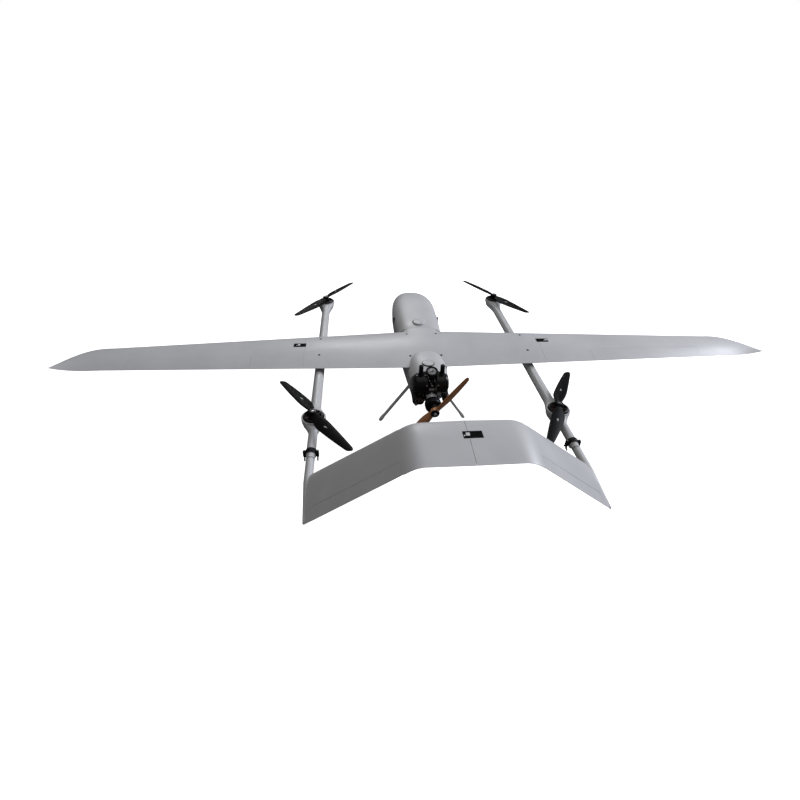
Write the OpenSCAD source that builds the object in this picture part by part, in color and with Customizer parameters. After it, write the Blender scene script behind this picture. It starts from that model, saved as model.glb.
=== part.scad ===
// Fixed wing drone with four lift rotors on two booms and a rear pusher engine.
// +X is the right wing, +Y the nose, +Z up; the ground is z = 0 under the centre of the aircraft.

/* [Wing] */
// Wingspan, tip to tip
wingspan = 3200; // [3100:10:3300]
// Half span of the centre panel, where the outer panels plug on
panel_joint_x = 548; // [530:2:560]
// Leading edge at the centre line
root_lead_y = 262; // [258:1:266]
// Trailing edge at the centre line
root_trail_y = -51; // [-54:1:-48]
// Trailing edge moves forward by this much for each unit of span
trail_sweep = 0.02; // [0.016:0.001:0.024]
// Leading edge moves back by this much for each unit of span
lead_sweep = 0.079; // [0.07:0.001:0.085]
// Wing thickness as a part of the chord
wing_thick = 0.12; // [0.11:0.005:0.13]
// Wing camber as a part of the chord
wing_camber = 0.03; // [0.02:0.005:0.035]
// Level of the upper skin along the aileron hinge
wing_level_z = 363; // [361:1:365]
// How far the wing tips turn up
tip_rise = 30; // [20:1:36]

/* [Control surfaces] */
// Inner end of the aileron
aileron_from_x = 777; // [760:1:790]
// Outer end of the aileron
aileron_to_x = 1300; // [1280:1:1320]
// Distance of the aileron hinge from the centre of the aircraft, along Y
hinge_y = 40; // [38:1:42]
// Radius of the rounded front edge of each control surface
hinge_r = 2.5; // [2.2:0.1:2.8]
// Radius of a hinge pin
hinge_pin_r = 1.2; // [1:0.1:1.4]
// Running clearance of a pin in its bore
pin_clearance = 0.05; // [0.02:0.01:0.1]
// Length of the servo arm and of the aileron horn, pivot to pivot
horn_len = 34; // [32:1:36]
// Distance of the servo shaft ahead of the aileron hinge
rod_len = 70; // [66:1:74]
// Where along the span the aileron servo sits
servo_x = 1000; // [980:5:1020]

/* [Fuselage] */
// Half of the fuselage width
body_half_w = 116; // [112:1:120]
// Level of the seam, where the fuselage is widest
seam_z = 312; // [308:1:316]
// Height of the nose cover above the seam
cover_h = 71; // [68:1:74]
// Depth of the lower shell below the seam
belly_h = 155; // [148:1:160]
// Where the nose starts to round off
nose_from_y = 540; // [520:5:560]
// Length of the rounded nose
nose_len = 265; // [255:5:280]
// Rear end of the fuselage, where the engine is bolted on
firewall_y = -115; // [-120:1:-110]
// Thickness of the composite skins
skin_t = 2.5; // [2:0.1:3]

/* [Booms] */
// Distance of each boom from the centre line
boom_x = 480; // [474:1:486]
// Height of the boom axis
boom_z = 306; // [302:1:310]
// Outer radius of the lift boom
boom_r = 21; // [20:0.5:22]
// Outer radius of the lift boom behind the rear motor
boom_rear_r = 17; // [16.5:0.5:17.5]
// Outer radius of the tail boom
tail_boom_r = 15; // [14.5:0.1:15]
// Front lift motor station
front_motor_y = 681; // [676:1:686]
// Rear lift motor station
rear_motor_y = -373; // [-378:1:-368]
// Joint between lift boom and tail boom
clamp_y = -556; // [-560:1:-552]

/* [Lift rotors] */
// Diameter of the lift propellers
lift_prop_d = 532; // [520:1:545]
// Outer radius of the motor bell
bell_r = 38.5; // [37:0.5:39]
// Height of the centre plane of the lift propellers
lift_prop_z = 355; // [354:1:357]

/* [Tail] */
// Half width of the flat centre of the tail
tail_flat_x = 140; // [130:1:146]
// Height of the flat centre of the tail
tail_z = 590; // [584:1:596]
// Tail thickness as a part of the chord
tail_thick = 0.095; // [0.085:0.005:0.105]

/* [Engine] */
// Height of the crankshaft
crank_z = 281; // [278:1:284]
// Diameter of the pusher propeller
pusher_d = 410; // [400:1:420]
// Station of the pusher propeller's centre
pusher_y = -300; // [-304:1:-296]

/* [Legs] */
// Half distance between the feet
foot_x = 208; // [200:1:214]
// Station of the rear legs
rear_leg_y = 18; // [14:1:24]
// Station of the front legs
front_leg_y = 560; // [550:1:570]

/* [Hidden] */

// Smoothness of exact round shapes and of the discs inside a hull
fine = 64;
coarse = 32;

white = [0.86, 0.87, 0.89];
black = [0.08, 0.08, 0.09];
metal = [0.72, 0.73, 0.75];
wood = [0.62, 0.33, 0.16];

// ---- Wing shape -------------------------------------------------------------------------------
half_span = wingspan / 2;
// The tip rounds off outboard of this station
tip_from_x = 1400;
tip_lead_power = 2.2;
tip_round_power = 0.6;
tip_trail_y = root_trail_y + trail_sweep * tip_from_x - 4;
// The wing is tilted nose up by this slope
wing_tilt = 0.034;
// Half thickness of the trailing edge itself
edge_t = 0.4;
skin_points = 12;

function half_thick(f, ratio) = 5 * ratio
    * (0.2969 * sqrt(f) - 0.1260 * f - 0.3516 * f ^ 2 + 0.2843 * f ^ 3 - 0.1015 * f ^ 4);
// Height of the upper (side 1) or lower (side -1) skin above the section's datum
function skin_z(f, chord, ratio, camber, tilt, side) =
    chord * (4 * camber * f * (1 - f) - tilt * f + side * half_thick(f, ratio)) + side * edge_t * f;
// Fractions of the chord, closer together near both edges
function spread(i, count) = (1 - cos(180 * i / count)) / 2;

function tip_part(x) = max(0, (x - tip_from_x) / (half_span - tip_from_x));
function straight_lead(x) = root_lead_y - lead_sweep * x;
function wing_lead(x) = let (s = tip_part(x), root = straight_lead(min(x, tip_from_x)))
    tip_trail_y + (root - tip_trail_y) * (1 - s ^ tip_lead_power) ^ tip_round_power;
function straight_trail(x) = root_trail_y + trail_sweep * x;
function wing_trail(x) = let (root = straight_trail(min(x, tip_from_x))) root + (tip_trail_y - root) * tip_part(x);
function wing_chord(x) = wing_lead(x) - wing_trail(x);
// The upper skin stays level along the aileron hinge, and rises at the tip
function wing_base(x) = let (c = wing_chord(min(x, tip_from_x)),
        f = (wing_lead(min(x, tip_from_x)) - hinge_y) / c)
    wing_level_z + tip_rise * tip_part(x) ^ 2 - skin_z(f, c, wing_thick, wing_camber, wing_tilt, 1);
function wing_skin(x, f, side) = wing_base(x)
    + skin_z(f, wing_chord(x), wing_thick, wing_camber, wing_tilt, side);
function wing_skin_at(x, y, side) = wing_skin(x, (wing_lead(x) - y) / wing_chord(x), side);

// One closed outline of the wing at station x
function wing_ring(x) = concat(
    [for (i = [skin_points : -1 : 0]) let (f = spread(i, skin_points))
        [x, wing_lead(x) - f * wing_chord(x), wing_skin(x, f, 1)]],
    [for (i = [1 : skin_points]) let (f = spread(i, skin_points))
        [x, wing_lead(x) - f * wing_chord(x), wing_skin(x, f, -1)]]);

// Solid through a list of closed rings that all have the same number of points
module loft(rings) {
    n = len(rings[0]);
    last = len(rings) - 1;
    sides = [for (i = [0 : last - 1], j = [0 : n - 1])
        let (a = i * n + j, b = i * n + (j + 1) % n) each [[a, a + n, b + n], [a, b + n, b]]];
    polyhedron([for (ring = rings) each ring],
        concat(sides, [[for (j = [0 : n - 1]) j]], [[for (j = [n - 1 : -1 : 0]) last * n + j]]));
}

// Thin shell between two grids of points of the same size
module sheet(outer, inner) {
    rows = len(outer);
    cols = len(outer[0]);
    half = rows * cols;
    skins = [for (i = [0 : rows - 2], j = [0 : cols - 2])
        let (a = i * cols + j, b = a + 1, c = a + cols, d = c + 1)
        each [[a, b, d], [a, d, c], [a + half, d + half, b + half], [a + half, c + half, d + half]]];
    long_edges = [for (i = [0 : rows - 2])
        let (a = i * cols, c = a + cols, b = a + cols - 1, d = c + cols - 1)
        each [[a, c, c + half], [a, c + half, a + half], [b, d + half, d], [b, b + half, d + half]]];
    end_edges = [for (j = [0 : cols - 2]) let (a = j, b = (rows - 1) * cols + j)
        each [[a, a + half, a + 1 + half], [a, a + 1 + half, a + 1],
            [b, b + 1, b + 1 + half], [b, b + 1 + half, b + half]]];
    polyhedron([for (g = [outer, inner]) for (row = g) each row],
        concat(skins, long_edges, end_edges));
}

// Slab with round ends in the XY plane, centred, lying on z = 0
module stadium(length, width, height) {
    linear_extrude(height = height) {
        square([length - width, width], center = true);
        for (side = [-1, 1])
            translate([side * (length - width) / 2, 0]) circle(d = width, $fn = fine);
    }
}

// Cylinder along X or along Y, from its own origin
module rod_x(r, length, r_end = -1) {
    rotate([0, 90, 0]) cylinder(r1 = r, r2 = r_end < 0 ? r : r_end, h = length, $fn = fine);
}
module rod_y(r, length, r_end = -1) {
    rotate([-90, 0, 0]) cylinder(r1 = r, r2 = r_end < 0 ? r : r_end, h = length, $fn = fine);
}

module on_side(side) {
    mirror([side < 0 ? 1 : 0, 0, 0]) children();
}

// ---- Wing panels ------------------------------------------------------------------------------
// The wing root is blunt in front, so that it closes flush with the nose cover
root_blunt_x = 88;
root_round_x = 101;
spar_y = 150;
spar_z = 354;
spar_r = 10;
spar_inner_x = 250;
spar_outer_x = 850;
rear_spar_y = 45;
rear_spar_z = 350;
rear_spar_r = 5;
rear_spar_inner_x = 490;
rear_spar_outer_x = 640;
spar_fit = 0.05;

module spar_bores() {
    translate([spar_inner_x - 1, spar_y, spar_z]) rod_x(spar_r + spar_fit, spar_outer_x);
    translate([rear_spar_inner_x - 1, rear_spar_y, rear_spar_z])
        rod_x(rear_spar_r + spar_fit, spar_outer_x);
}

function blunt(ring) = let (top = max([for (p = ring) p[2]]), from_y = spar_y)
    [for (i = [0 : len(ring) - 1]) let (p = ring[i])
        i < skin_points && p[1] > from_y ? [p[0], p[1], top] : p];

// Wing screws at the boom and at the fuselage: x, y, head radius
boom_screw_y = [175, 42];
body_screw_x = 71;
body_screw_y = [204, 21];
screw_r = 3;
screw_places = concat([for (y = boom_screw_y) [boom_x, y]], [for (y = body_screw_y) [body_screw_x, y]]);

module centre_wing() {
    stations = [panel_joint_x, root_round_x];
    color(white) difference() {
        loft(concat(
            [for (x = stations) [for (p = wing_ring(x)) [-p[0], p[1], p[2]]]],
            [for (x = [root_blunt_x]) [for (p = blunt(wing_ring(x))) [-p[0], p[1], p[2]]]],
            [blunt(wing_ring(root_blunt_x)), wing_ring(root_round_x), wing_ring(panel_joint_x)]));
        for (side = [-1, 1]) on_side(side) {
            spar_bores();
            for (p = screw_places)
                translate([p[0], p[1], seam_z]) cylinder(r = screw_r + 0.1, h = 100, $fn = fine);
        }
    }
}

module outer_wing() {
    stations = [panel_joint_x + 0.6, 800, 1050, 1300, tip_from_x, 1450, 1490, 1525, 1552, 1573, 1588, 1596];
    gap = 1.5;
    difference() {
        loft([for (x = stations) wing_ring(x)]);
        translate([aileron_from_x - gap, hinge_y + hinge_r - 200, seam_z])
            cube([aileron_to_x - aileron_from_x + 2 * gap, 200, 100]);
        spar_bores();
        servo_bay();
        for (x = [aileron_from_x - gap - pin_len, aileron_to_x + gap])
            translate([x, hinge_y, hinge_z]) rod_x(hinge_pin_r, pin_len);
    }
}
hinge_z = wing_level_z - hinge_r;
pin_len = 12;
module left_outer_wing() { color(white) on_side(-1) outer_wing(); }
module right_outer_wing() { color(white) outer_wing(); }

// ---- Ailerons and their linkage ---------------------------------------------------------------
face_slope = 28;
aileron_points = 6;
horn_t = 2.4;
eye_r = 3.8;
link_z = hinge_z - horn_len;
servo_y = hinge_y + rod_len;
servo_shaft_r = 3;
horn_hole_r = 1.4;
slot_half_y = 20;

// Foot of the sloping front face of the aileron, on the lower skin
function face_foot(x) = hinge_y + hinge_r * cos(face_slope)
    - (hinge_z - hinge_r * sin(face_slope) - wing_skin_at(x, hinge_y - 6, -1)) * tan(face_slope);
function aileron_ring(x) = let (foot = face_foot(x), trail = wing_trail(x)) concat(
    [for (i = [aileron_points : -1 : 1]) let (y = hinge_y + (trail - hinge_y) * i / aileron_points)
        [x, y, wing_skin_at(x, y, 1)]],
    [for (a = [90, 60, 30, 0, -face_slope]) [x, hinge_y + hinge_r * cos(a), hinge_z + hinge_r * sin(a)]],
    [for (i = [0 : aileron_points]) let (y = foot + (trail - foot) * i / aileron_points)
        [x, y, wing_skin_at(x, y, -1)]]);

module aileron() {
    middle_x = (aileron_from_x + aileron_to_x) / 2;
    difference() {
        union() {
            loft([for (x = [aileron_from_x, middle_x, aileron_to_x]) aileron_ring(x)]);
            translate([servo_x - horn_t / 2, 0, 0]) rotate([90, 0, 90]) linear_extrude(height = horn_t) {
                polygon([[hinge_y - eye_r, link_z], [hinge_y + eye_r, link_z],
                    [hinge_y - 6, hinge_z - 10], [hinge_y - 30, hinge_z - 10]]);
                translate([hinge_y, link_z]) circle(r = eye_r, $fn = fine);
            }
        }
        translate([servo_x - 5, hinge_y, link_z]) rod_x(horn_hole_r, 10);
        for (x = [aileron_from_x - 1, aileron_to_x + 1 - pin_len])
            translate([x, hinge_y, hinge_z]) rod_x(hinge_pin_r + pin_clearance, pin_len);
    }
}
module left_aileron() { color(white) on_side(-1) aileron(); }
module right_aileron() { color(white) aileron(); }

// Space for the servo and its arm, open below
module servo_bay() {
    translate([servo_x - 3, servo_y - slot_half_y, seam_z]) cube([9.5, 2 * slot_half_y, hinge_z + 6.5 - seam_z]);
    translate([servo_x + 6, servo_y - 8.3, seam_z]) cube([21.3, 30.6, hinge_z + 6.3 - seam_z]);
}

module servo_arm() {
    translate([servo_x - horn_t / 2, servo_y, 0]) difference() {
        rotate([90, 0, 90]) linear_extrude(height = horn_t) {
            hull() {
                translate([0, hinge_z]) circle(r = 6, $fn = coarse);
                translate([0, link_z]) circle(r = eye_r, $fn = coarse);
            }
        }
        translate([-1, 0, hinge_z]) rod_x(servo_shaft_r + pin_clearance, 5);
        translate([-1, 0, link_z]) rod_x(hinge_pin_r + pin_clearance, 5);
    }
}
module left_servo_arm() { color(black) on_side(-1) servo_arm(); }
module right_servo_arm() { color(black) servo_arm(); }

module pushrod() {
    rod_x_at = servo_x + horn_t / 2 + 0.4;
    translate([rod_x_at + 1.2, hinge_y, link_z]) rod_y(1.5, rod_len);
    for (y = [hinge_y, servo_y]) translate([0, y, link_z]) {
        translate([rod_x_at, 0, 0]) rod_x(eye_r, 2.4);
        translate([servo_x - 1.8, 0, 0]) rod_x(hinge_pin_r, 3.6);
    }
}
module left_pushrod() { color(metal) on_side(-1) pushrod(); }
module right_pushrod() { color(metal) pushrod(); }

// ---- Tail -------------------------------------------------------------------------------------
// The fin runs from the bend of the arch straight down to the tail boom
fin_top = [180, tail_z - 15];
fin_foot = [boom_x - 2, boom_z + 2];
fin_angle = atan2(fin_top[1] - fin_foot[1], fin_foot[0] - fin_top[0]);
fin_len = (fin_foot[0] - fin_top[0]) / cos(fin_angle);
tail_centre_lead = -743;
tail_centre_trail = -930;
tail_bend_lead = -747;
tail_bend_trail = -928;
fin_foot_lead = -658;
fin_foot_trail = -862;
tail_hinge_part = 0.75;
ruddervator_from = 14;
ruddervator_to = 362;
tail_gap = 2;
tail_points = 9;
tail_hinge_r = 2;
tail_pin_r = 1;

function fin_lead(u) = tail_bend_lead + (fin_foot_lead - tail_bend_lead) * u / fin_len;
function fin_trail(u) = tail_bend_trail + (fin_foot_trail - tail_bend_trail) * u / fin_len;
function tail_section(lead, trail) = let (c = lead - trail) concat(
    [for (i = [tail_points : -1 : 0]) let (f = spread(i, tail_points))
        [lead - f * c, skin_z(f, c, tail_thick, 0, 0, 1)]],
    [for (i = [1 : tail_points]) let (f = spread(i, tail_points))
        [lead - f * c, skin_z(f, c, tail_thick, 0, 0, -1)]]);
// Section placed at point x, z of the arch, with its thickness along the direction at that angle
function tail_ring(x, z, angle, lead, trail) =
    [for (p = tail_section(lead, trail)) [x + p[1] * sin(angle), p[0], z + p[1] * cos(angle)]];

// Frame of the fin: X runs down the span, Z points out of its upper skin
module fin_frame() {
    translate([fin_top[0], 0, fin_top[1]]) rotate([0, fin_angle, 0]) children();
}
fin_servo_y = fin_lead(60) - 80;
function fin_hinge_y(u) = fin_lead(u) - tail_hinge_part * (fin_lead(u) - fin_trail(u));
hinge_top_z = skin_z(tail_hinge_part, 172, tail_thick, 0, 0, 1);
tail_hinge_z = hinge_top_z - tail_hinge_r;
hinge_turn = atan2(fin_hinge_y(ruddervator_to) - fin_hinge_y(ruddervator_from),
    ruddervator_to - ruddervator_from);
// Frame of the ruddervator hinge: X along the hinge, from the inner end of the ruddervator
module hinge_frame() {
    fin_frame() translate([ruddervator_from, fin_hinge_y(ruddervator_from), tail_hinge_z])
        rotate([0, 0, hinge_turn]) children();
}
hinge_span = (ruddervator_to - ruddervator_from) / cos(hinge_turn);

module tail_half() {
    difference() {
        loft([tail_ring(0.3, tail_z, 0, tail_centre_lead, tail_centre_trail),
            tail_ring(tail_flat_x, tail_z, 0, tail_bend_lead + 1, tail_bend_trail - 1),
            tail_ring(tail_flat_x + 24, tail_z - 4, fin_angle / 2, tail_bend_lead, tail_bend_trail),
            tail_ring(fin_top[0], fin_top[1], fin_angle, tail_bend_lead, tail_bend_trail),
            tail_ring(fin_foot[0], fin_foot[1], fin_angle, fin_foot_lead, fin_foot_trail)]);
        fin_frame() translate([59.8, fin_servo_y - 0.2, -20]) cube([28.4, 24.4, 25.2]);
        hinge_frame() {
            translate([-tail_gap, -300 + tail_hinge_r, -30]) cube([hinge_span + 2 * tail_gap, 300, 60]);
            for (x = [-tail_gap - pin_len, hinge_span + tail_gap]) translate([x, 0, 0]) rod_x(tail_pin_r, pin_len);
        }
        tail_boom_shape(0.3);
    }
}
module left_tail_half() { color(white) on_side(-1) tail_half(); }
module right_tail_half() { color(white) tail_half(); }

// Section of the ruddervator in the hinge frame, s along the hinge
function ruddervator_ring(s) =
    let (u = ruddervator_from + s * cos(hinge_turn), lead = fin_lead(u), c = lead - fin_trail(u),
        slope = face_slope, foot = -(hinge_top_z * 2 - tail_hinge_r) * tan(slope) + tail_hinge_r)
    concat(
        [for (i = [aileron_points : -1 : 1]) let (f = tail_hinge_part + (1 - tail_hinge_part) * i / aileron_points)
            [s, (tail_hinge_part - f) * c, skin_z(f, c, tail_thick, 0, 0, 1) - tail_hinge_z]],
        [for (a = [90, 60, 30, 0, -slope]) [s, tail_hinge_r * cos(a), tail_hinge_r * sin(a)]],
        [for (i = [0 : aileron_points])
            let (y = foot + (-(1 - tail_hinge_part) * c - foot) * i / aileron_points, f = tail_hinge_part - y / c)
            [s, y, skin_z(f, c, tail_thick, 0, 0, -1) - tail_hinge_z]]);

module ruddervator() {
    hinge_frame() difference() {
        loft([for (s = [0, hinge_span / 2, hinge_span]) ruddervator_ring(s)]);
        for (x = [-1, hinge_span + 1 - pin_len]) translate([x, 0, 0]) rod_x(tail_pin_r + pin_clearance, pin_len);
    }
}
module left_ruddervator() { color(white) on_side(-1) ruddervator(); }
module right_ruddervator() { color(white) ruddervator(); }

module hinge_pins() {
    inside = pin_len - 3;
    color(metal) for (side = [-1, 1]) on_side(side) {
        for (x = [aileron_from_x - 1.5 - inside, aileron_to_x + 1.5 + inside - 2 * inside - 0])
            translate([x, hinge_y, hinge_z]) rod_x(hinge_pin_r, 2 * inside);
        hinge_frame() for (x = [-tail_gap - inside, hinge_span + tail_gap - inside])
            translate([x, 0, 0]) rod_x(tail_pin_r, 2 * inside);
    }
}

// ---- Booms ------------------------------------------------------------------------------------
pod_r = 46.5;
pod_floor_z = 308;
pod_bowl_z = 304;
pod_rim_z = 336;
pod_lip = 6;
boom_wall = 2;
saddle_top_z = 336.5;
saddle_y = [5, 210];
sleeve_len = 60;

// Motor pod, flared into the boom at each station and radius in the list
module pod(flares) {
    hull() {
        translate([0, 0, pod_rim_z - 10]) cylinder(r = pod_r, h = 10, $fn = 48);
        translate([0, 0, pod_bowl_z]) scale([1, 1, 0.5]) sphere(r = 38, $fn = coarse);
        for (f = flares) translate([0, f[0], boom_z]) rod_y(f[1] + 0.6, 0.5);
    }
}

module lift_boom() {
    translate([boom_x, 0, 0]) difference() {
        union() {
            translate([0, rear_motor_y + 40, boom_z]) rod_y(boom_r, front_motor_y - rear_motor_y - 120);
            translate([0, front_motor_y, 0]) pod([[-88, boom_r]]);
            translate([0, rear_motor_y, 0]) pod([[88, boom_r], [-62, boom_rear_r]]);
            translate([0, clamp_y, boom_z]) rod_y(boom_rear_r, rear_motor_y - clamp_y - 30);
            boom_saddle();
        }
        translate([0, rear_motor_y + 50, boom_z]) rod_y(boom_r - boom_wall, front_motor_y - rear_motor_y - 100);
        translate([0, clamp_y - 1, boom_z]) rod_y(tail_boom_r + 0.05, sleeve_len + 1);
        for (y = [front_motor_y, rear_motor_y]) translate([0, y, pod_floor_z]) cylinder(r = pod_r - pod_lip, h = 40, $fn = fine);
        for (y = boom_screw_y) translate([0, y, boom_z + 10]) cylinder(r = screw_r, h = 60, $fn = fine);
    }
}
module boom_saddle() {
    length = saddle_y[1] - saddle_y[0];
    translate([0, (saddle_y[0] + saddle_y[1]) / 2, boom_z + 12]) rotate([0, 0, 90]) stadium(length, 26, saddle_top_z - boom_z - 12);
}
module left_boom() { color(white) on_side(-1) lift_boom(); }
module right_boom() { color(white) lift_boom(); }

tail_taper_y = -690;
tail_tip_y = -858;
tail_tip_r = 4;
module tail_boom_shape(extra) {
    r = tail_boom_r + extra;
    translate([boom_x, 0, boom_z]) rotate([-90, 0, 0]) rotate_extrude($fn = fine)
        polygon([[0, tail_tip_y - extra], [tail_tip_r + extra, tail_tip_y - extra], [r, tail_taper_y],
            [r, clamp_y + sleeve_len - 2], [0, clamp_y + sleeve_len - 2]]);
}
module tail_boom() {
    difference() {
        tail_boom_shape(0);
        translate([boom_x, tail_taper_y, boom_z]) rod_y(tail_boom_r - boom_wall, 300);
    }
}
module left_tail_boom() { color(white) on_side(-1) tail_boom(); }
module right_tail_boom() { color(white) tail_boom(); }

clamp_len = 22;
clamp_r = 20;
ear_x = 23;
ear_w = 9;
ear_len = 14;
module boom_clamps() {
    color(black) for (side = [-1, 1]) on_side(side) translate([boom_x, clamp_y, boom_z]) {
        difference() {
            union() {
                rod_y(clamp_r, clamp_len);
                for (ear = [-1, 1]) translate([ear * ear_x - ear_w / 2, clamp_len / 2 - ear_len / 2, -9]) cube([ear_w, ear_len, 18]);
            }
            translate([0, -1, 0]) rod_y(boom_rear_r + 0.05, clamp_len + 2);
            for (ear = [-1, 1]) translate([ear * ear_x, clamp_len / 2, -20]) cylinder(r = 2.1, h = 40, $fn = fine);
        }
        for (ear = [-1, 1]) translate([ear * ear_x, clamp_len / 2, 0]) {
            translate([0, 0, -26]) cylinder(r = 2, h = 39, $fn = fine);
            translate([0, 0, 9.2]) cylinder(r = 4, h = 4, $fn = fine);
            translate([0, 0, -16.5]) cylinder(r = 5, h = 7.2, $fn = fine);
            for (wing = [-1, 1]) translate([0, 0, -14]) rotate([wing * 50, 0, 0])
                translate([0, 0, -16]) linear_extrude(height = 14) square([2.6, 8], center = true);
        }
    }
}

// ---- Fuselage ---------------------------------------------------------------------------------
body_power = 3;
cowl_power = 2.3;
nose_power = 2.2;
nose_round_power = 0.67;
taper_from_y = 460;
cowl_from_y = 200;
taper_w = 32;
belly_rise = 45;
cowl_h = 59;
cover_rear_y = root_lead_y - 3.5;
nose_parts = [0, 0.2, 0.38, 0.53, 0.66, 0.77, 0.86, 0.93, 0.97, 0.999];
arc_steps = 16;

function spow(v, e) = sign(v) * abs(v) ^ e;
function nose_k(s) = (1 - s ^ nose_power) ^ nose_round_power;
function taper_part(y) = max(0, (taper_from_y - y) / (taper_from_y - firewall_y));
function body_w(y) = body_half_w - taper_w * taper_part(y) ^ 1.5;
function body_below(y) = belly_h - belly_rise * taper_part(y) ^ 2;
// The cowl stands a little above the wing and dips to both ends
function body_above(y) = y > cowl_from_y ? cover_h - 9.4 * max(0, (330 - y) / 80) ^ 2
    : cowl_h - 5 * ((y + 20) / 75) ^ 2;
// Point of the skin at station y and angle a; above the seam the angle is 0 to 180
function body_point(y, a, inset) =
    let (s = max(0, (y - nose_from_y) / nose_len), k = nose_k(s), p = y < cowl_from_y && a < 180 ? cowl_power : body_power,
        height = (a <= 180 ? body_above(y) : body_below(y)) - inset)
    [(body_w(y) - inset) * k * spow(cos(a), 2 / p), y - s * inset, seam_z + height * k * spow(sin(a), 2 / p)];
function nose_stations(parts) = [for (s = parts) nose_from_y + s * nose_len];
function arc(y, from, to, inset) = [for (i = [0 : arc_steps]) body_point(y, from + (to - from) * i / arc_steps, inset)];

pitot_r = 3.5;
pitot_len = 42;
module pitot_bore() {
    translate([0, nose_from_y + nose_len - 30, seam_z]) rod_y(pitot_r + 0.05, 60);
}

lower_stations = concat([firewall_y, -60, 0, 60, 130, 200, 370], nose_stations(nose_parts));
plate_size = [92, 132, 10];
plate_y = 400;
plate_z = 150;
floor_z = 234;
// Half width of the inside of the lower shell at level z
function floor_half(y, z) = let (k = nose_k(max(0, (y - nose_from_y) / nose_len)),
        drop = (seam_z - z) / ((body_below(y) - skin_t) * k))
    (body_w(y) - skin_t + 0.5) * k * (1 - drop ^ body_power) ^ (1 / body_power);
module lower_shell() {
    floor_stations = [firewall_y + 15, -60, 0, 60, 130, 200, 370, nose_from_y, 600, 650];
    color(white) difference() {
        union() {
            sheet([for (y = lower_stations) arc(y, 180, 360, 0)],
                [for (y = lower_stations) arc(y, 180, 360, skin_t)]);
            translate([0, 0, floor_z]) linear_extrude(height = skin_t) polygon(concat(
                [for (y = floor_stations) [floor_half(y, floor_z), y]],
                [for (i = [len(floor_stations) - 1 : -1 : 0]) let (y = floor_stations[i]) [-floor_half(y, floor_z), y]]));
        }
        pitot_bore();
        translate([-plate_size[0] / 2 - 0.2, plate_y - plate_size[1] / 2 - 0.2, plate_z - 5])
            cube([plate_size[0] + 0.4, plate_size[1] + 0.4, 30]);
        for (side = [-1, 1], y = [front_leg_y, rear_leg_y]) on_side(side)
            leg_frame(y, leg_len / 2) stadium(leg_chord + 0.4, leg_t + 0.4, leg_len / 2);
    }
}

cover_stations = concat([cover_rear_y, 300, 370], nose_stations(nose_parts));
gps_y = 309;
gps_r = 31;
vent_y = 435;
vent_z = 332;
vent_r = 15;
module nose_cover() {
    color(white) difference() {
        sheet([for (y = cover_stations) arc(y, 180, 0, 0)], [for (y = cover_stations) arc(y, 180, 0, skin_t)]);
        pitot_bore();
        translate([0, gps_y, seam_z + 30]) cylinder(r = gps_r + 0.15, h = 100, $fn = fine);
        for (side = [-1, 1]) on_side(side) translate([80, vent_y, vent_z]) rod_x(vent_r + 0.1, 60);
    }
}

// Satellite antenna in the nose cover and a fuel filler cap in the hump
module round_caps() {
    color(white) {
        translate([0, gps_y, seam_z + cover_h - 12]) rotate_extrude($fn = fine)
            polygon([[0, 0], [gps_r, 0], [gps_r, 13.5], [gps_r - 1.5, 15.5], [gps_r - 5, 17], [0, 19]]);
        translate([0, hump_cap_y, hump_cap_top_z - 12]) rotate_extrude($fn = fine)
            polygon([[0, 0], [hump_cap_r, 0], [hump_cap_r, 11], [hump_cap_r - 1, 12], [0, 12]]);
    }
}

module side_vents() {
    color(black) for (side = [-1, 1]) on_side(side) translate([100, vent_y, vent_z]) difference() {
        rod_x(vent_r, 18);
        for (z = [-7, 0, 7]) translate([5, -12, z - 2]) cube([20, 24, 4]);
    }
}

module pitot_tube() {
    color(metal) translate([0, nose_from_y + nose_len - 25, seam_z]) difference() {
        rod_y(pitot_r, pitot_len);
        translate([0, 5, 0]) rod_y(1.5, pitot_len);
    }
}

// Wall from the seam up to the underside of the wing
module wing_saddle() {
    stations = [root_trail_y + 1, -20, 20, 60, 95, 130, 160, 185, 205, 222, 236, 247, cover_rear_y - 0.5];
    function wall(y, inset) = [for (i = [0 : 4]) let (z = seam_z + 0.3 + (wing_under(y) - seam_z - 0.3) * i / 4)
        [body_w(y) - inset - 1.5 * i / 4, y, z]];
    function wing_under(y) = min(wing_skin_at(root_round_x, min(y, wing_lead(root_round_x) - 0.5), -1),
        wing_skin_at(60, y, -1)) - 0.6;
    color(white) for (side = [-1, 1]) on_side(side)
        sheet([for (y = stations) wall(y, skin_t)], [for (y = stations) wall(y, 0)]);
}

cowl_front_y = 46;
hump_cap_y = -60;
hump_cap_r = 25;
hump_cap_top_z = 372;
module engine_cowl() {
    stations = [firewall_y, -85, root_trail_y - 1.5, root_trail_y - 0.6, -32, -8, 15, 32, cowl_front_y];
    function edge_z(y) = y < root_trail_y - 1 ? seam_z + 0.3 : wing_skin_at(0, max(y, root_trail_y), 1) + 0.3;
    function edge_a(y, inset) = asin(min(0.999, ((edge_z(y) - seam_z) / (body_above(y) - inset)) ^ (cowl_power / 2)));
    function cowl_arc(y, inset) = let (a = edge_a(y, inset)) arc(y, 180 - a, a, inset);
    color(white) difference() {
        sheet([for (y = stations) cowl_arc(y, 0)], [for (y = stations) cowl_arc(y, skin_t)]);
        for (side = [-1, 1]) on_side(side)
            translate([body_screw_x, body_screw_y[1], seam_z]) cylinder(r = 7, h = 100, $fn = fine);
        translate([0, hump_cap_y, seam_z + 30]) cylinder(r = hump_cap_r + 0.15, h = 100, $fn = fine);
    }
}

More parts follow.
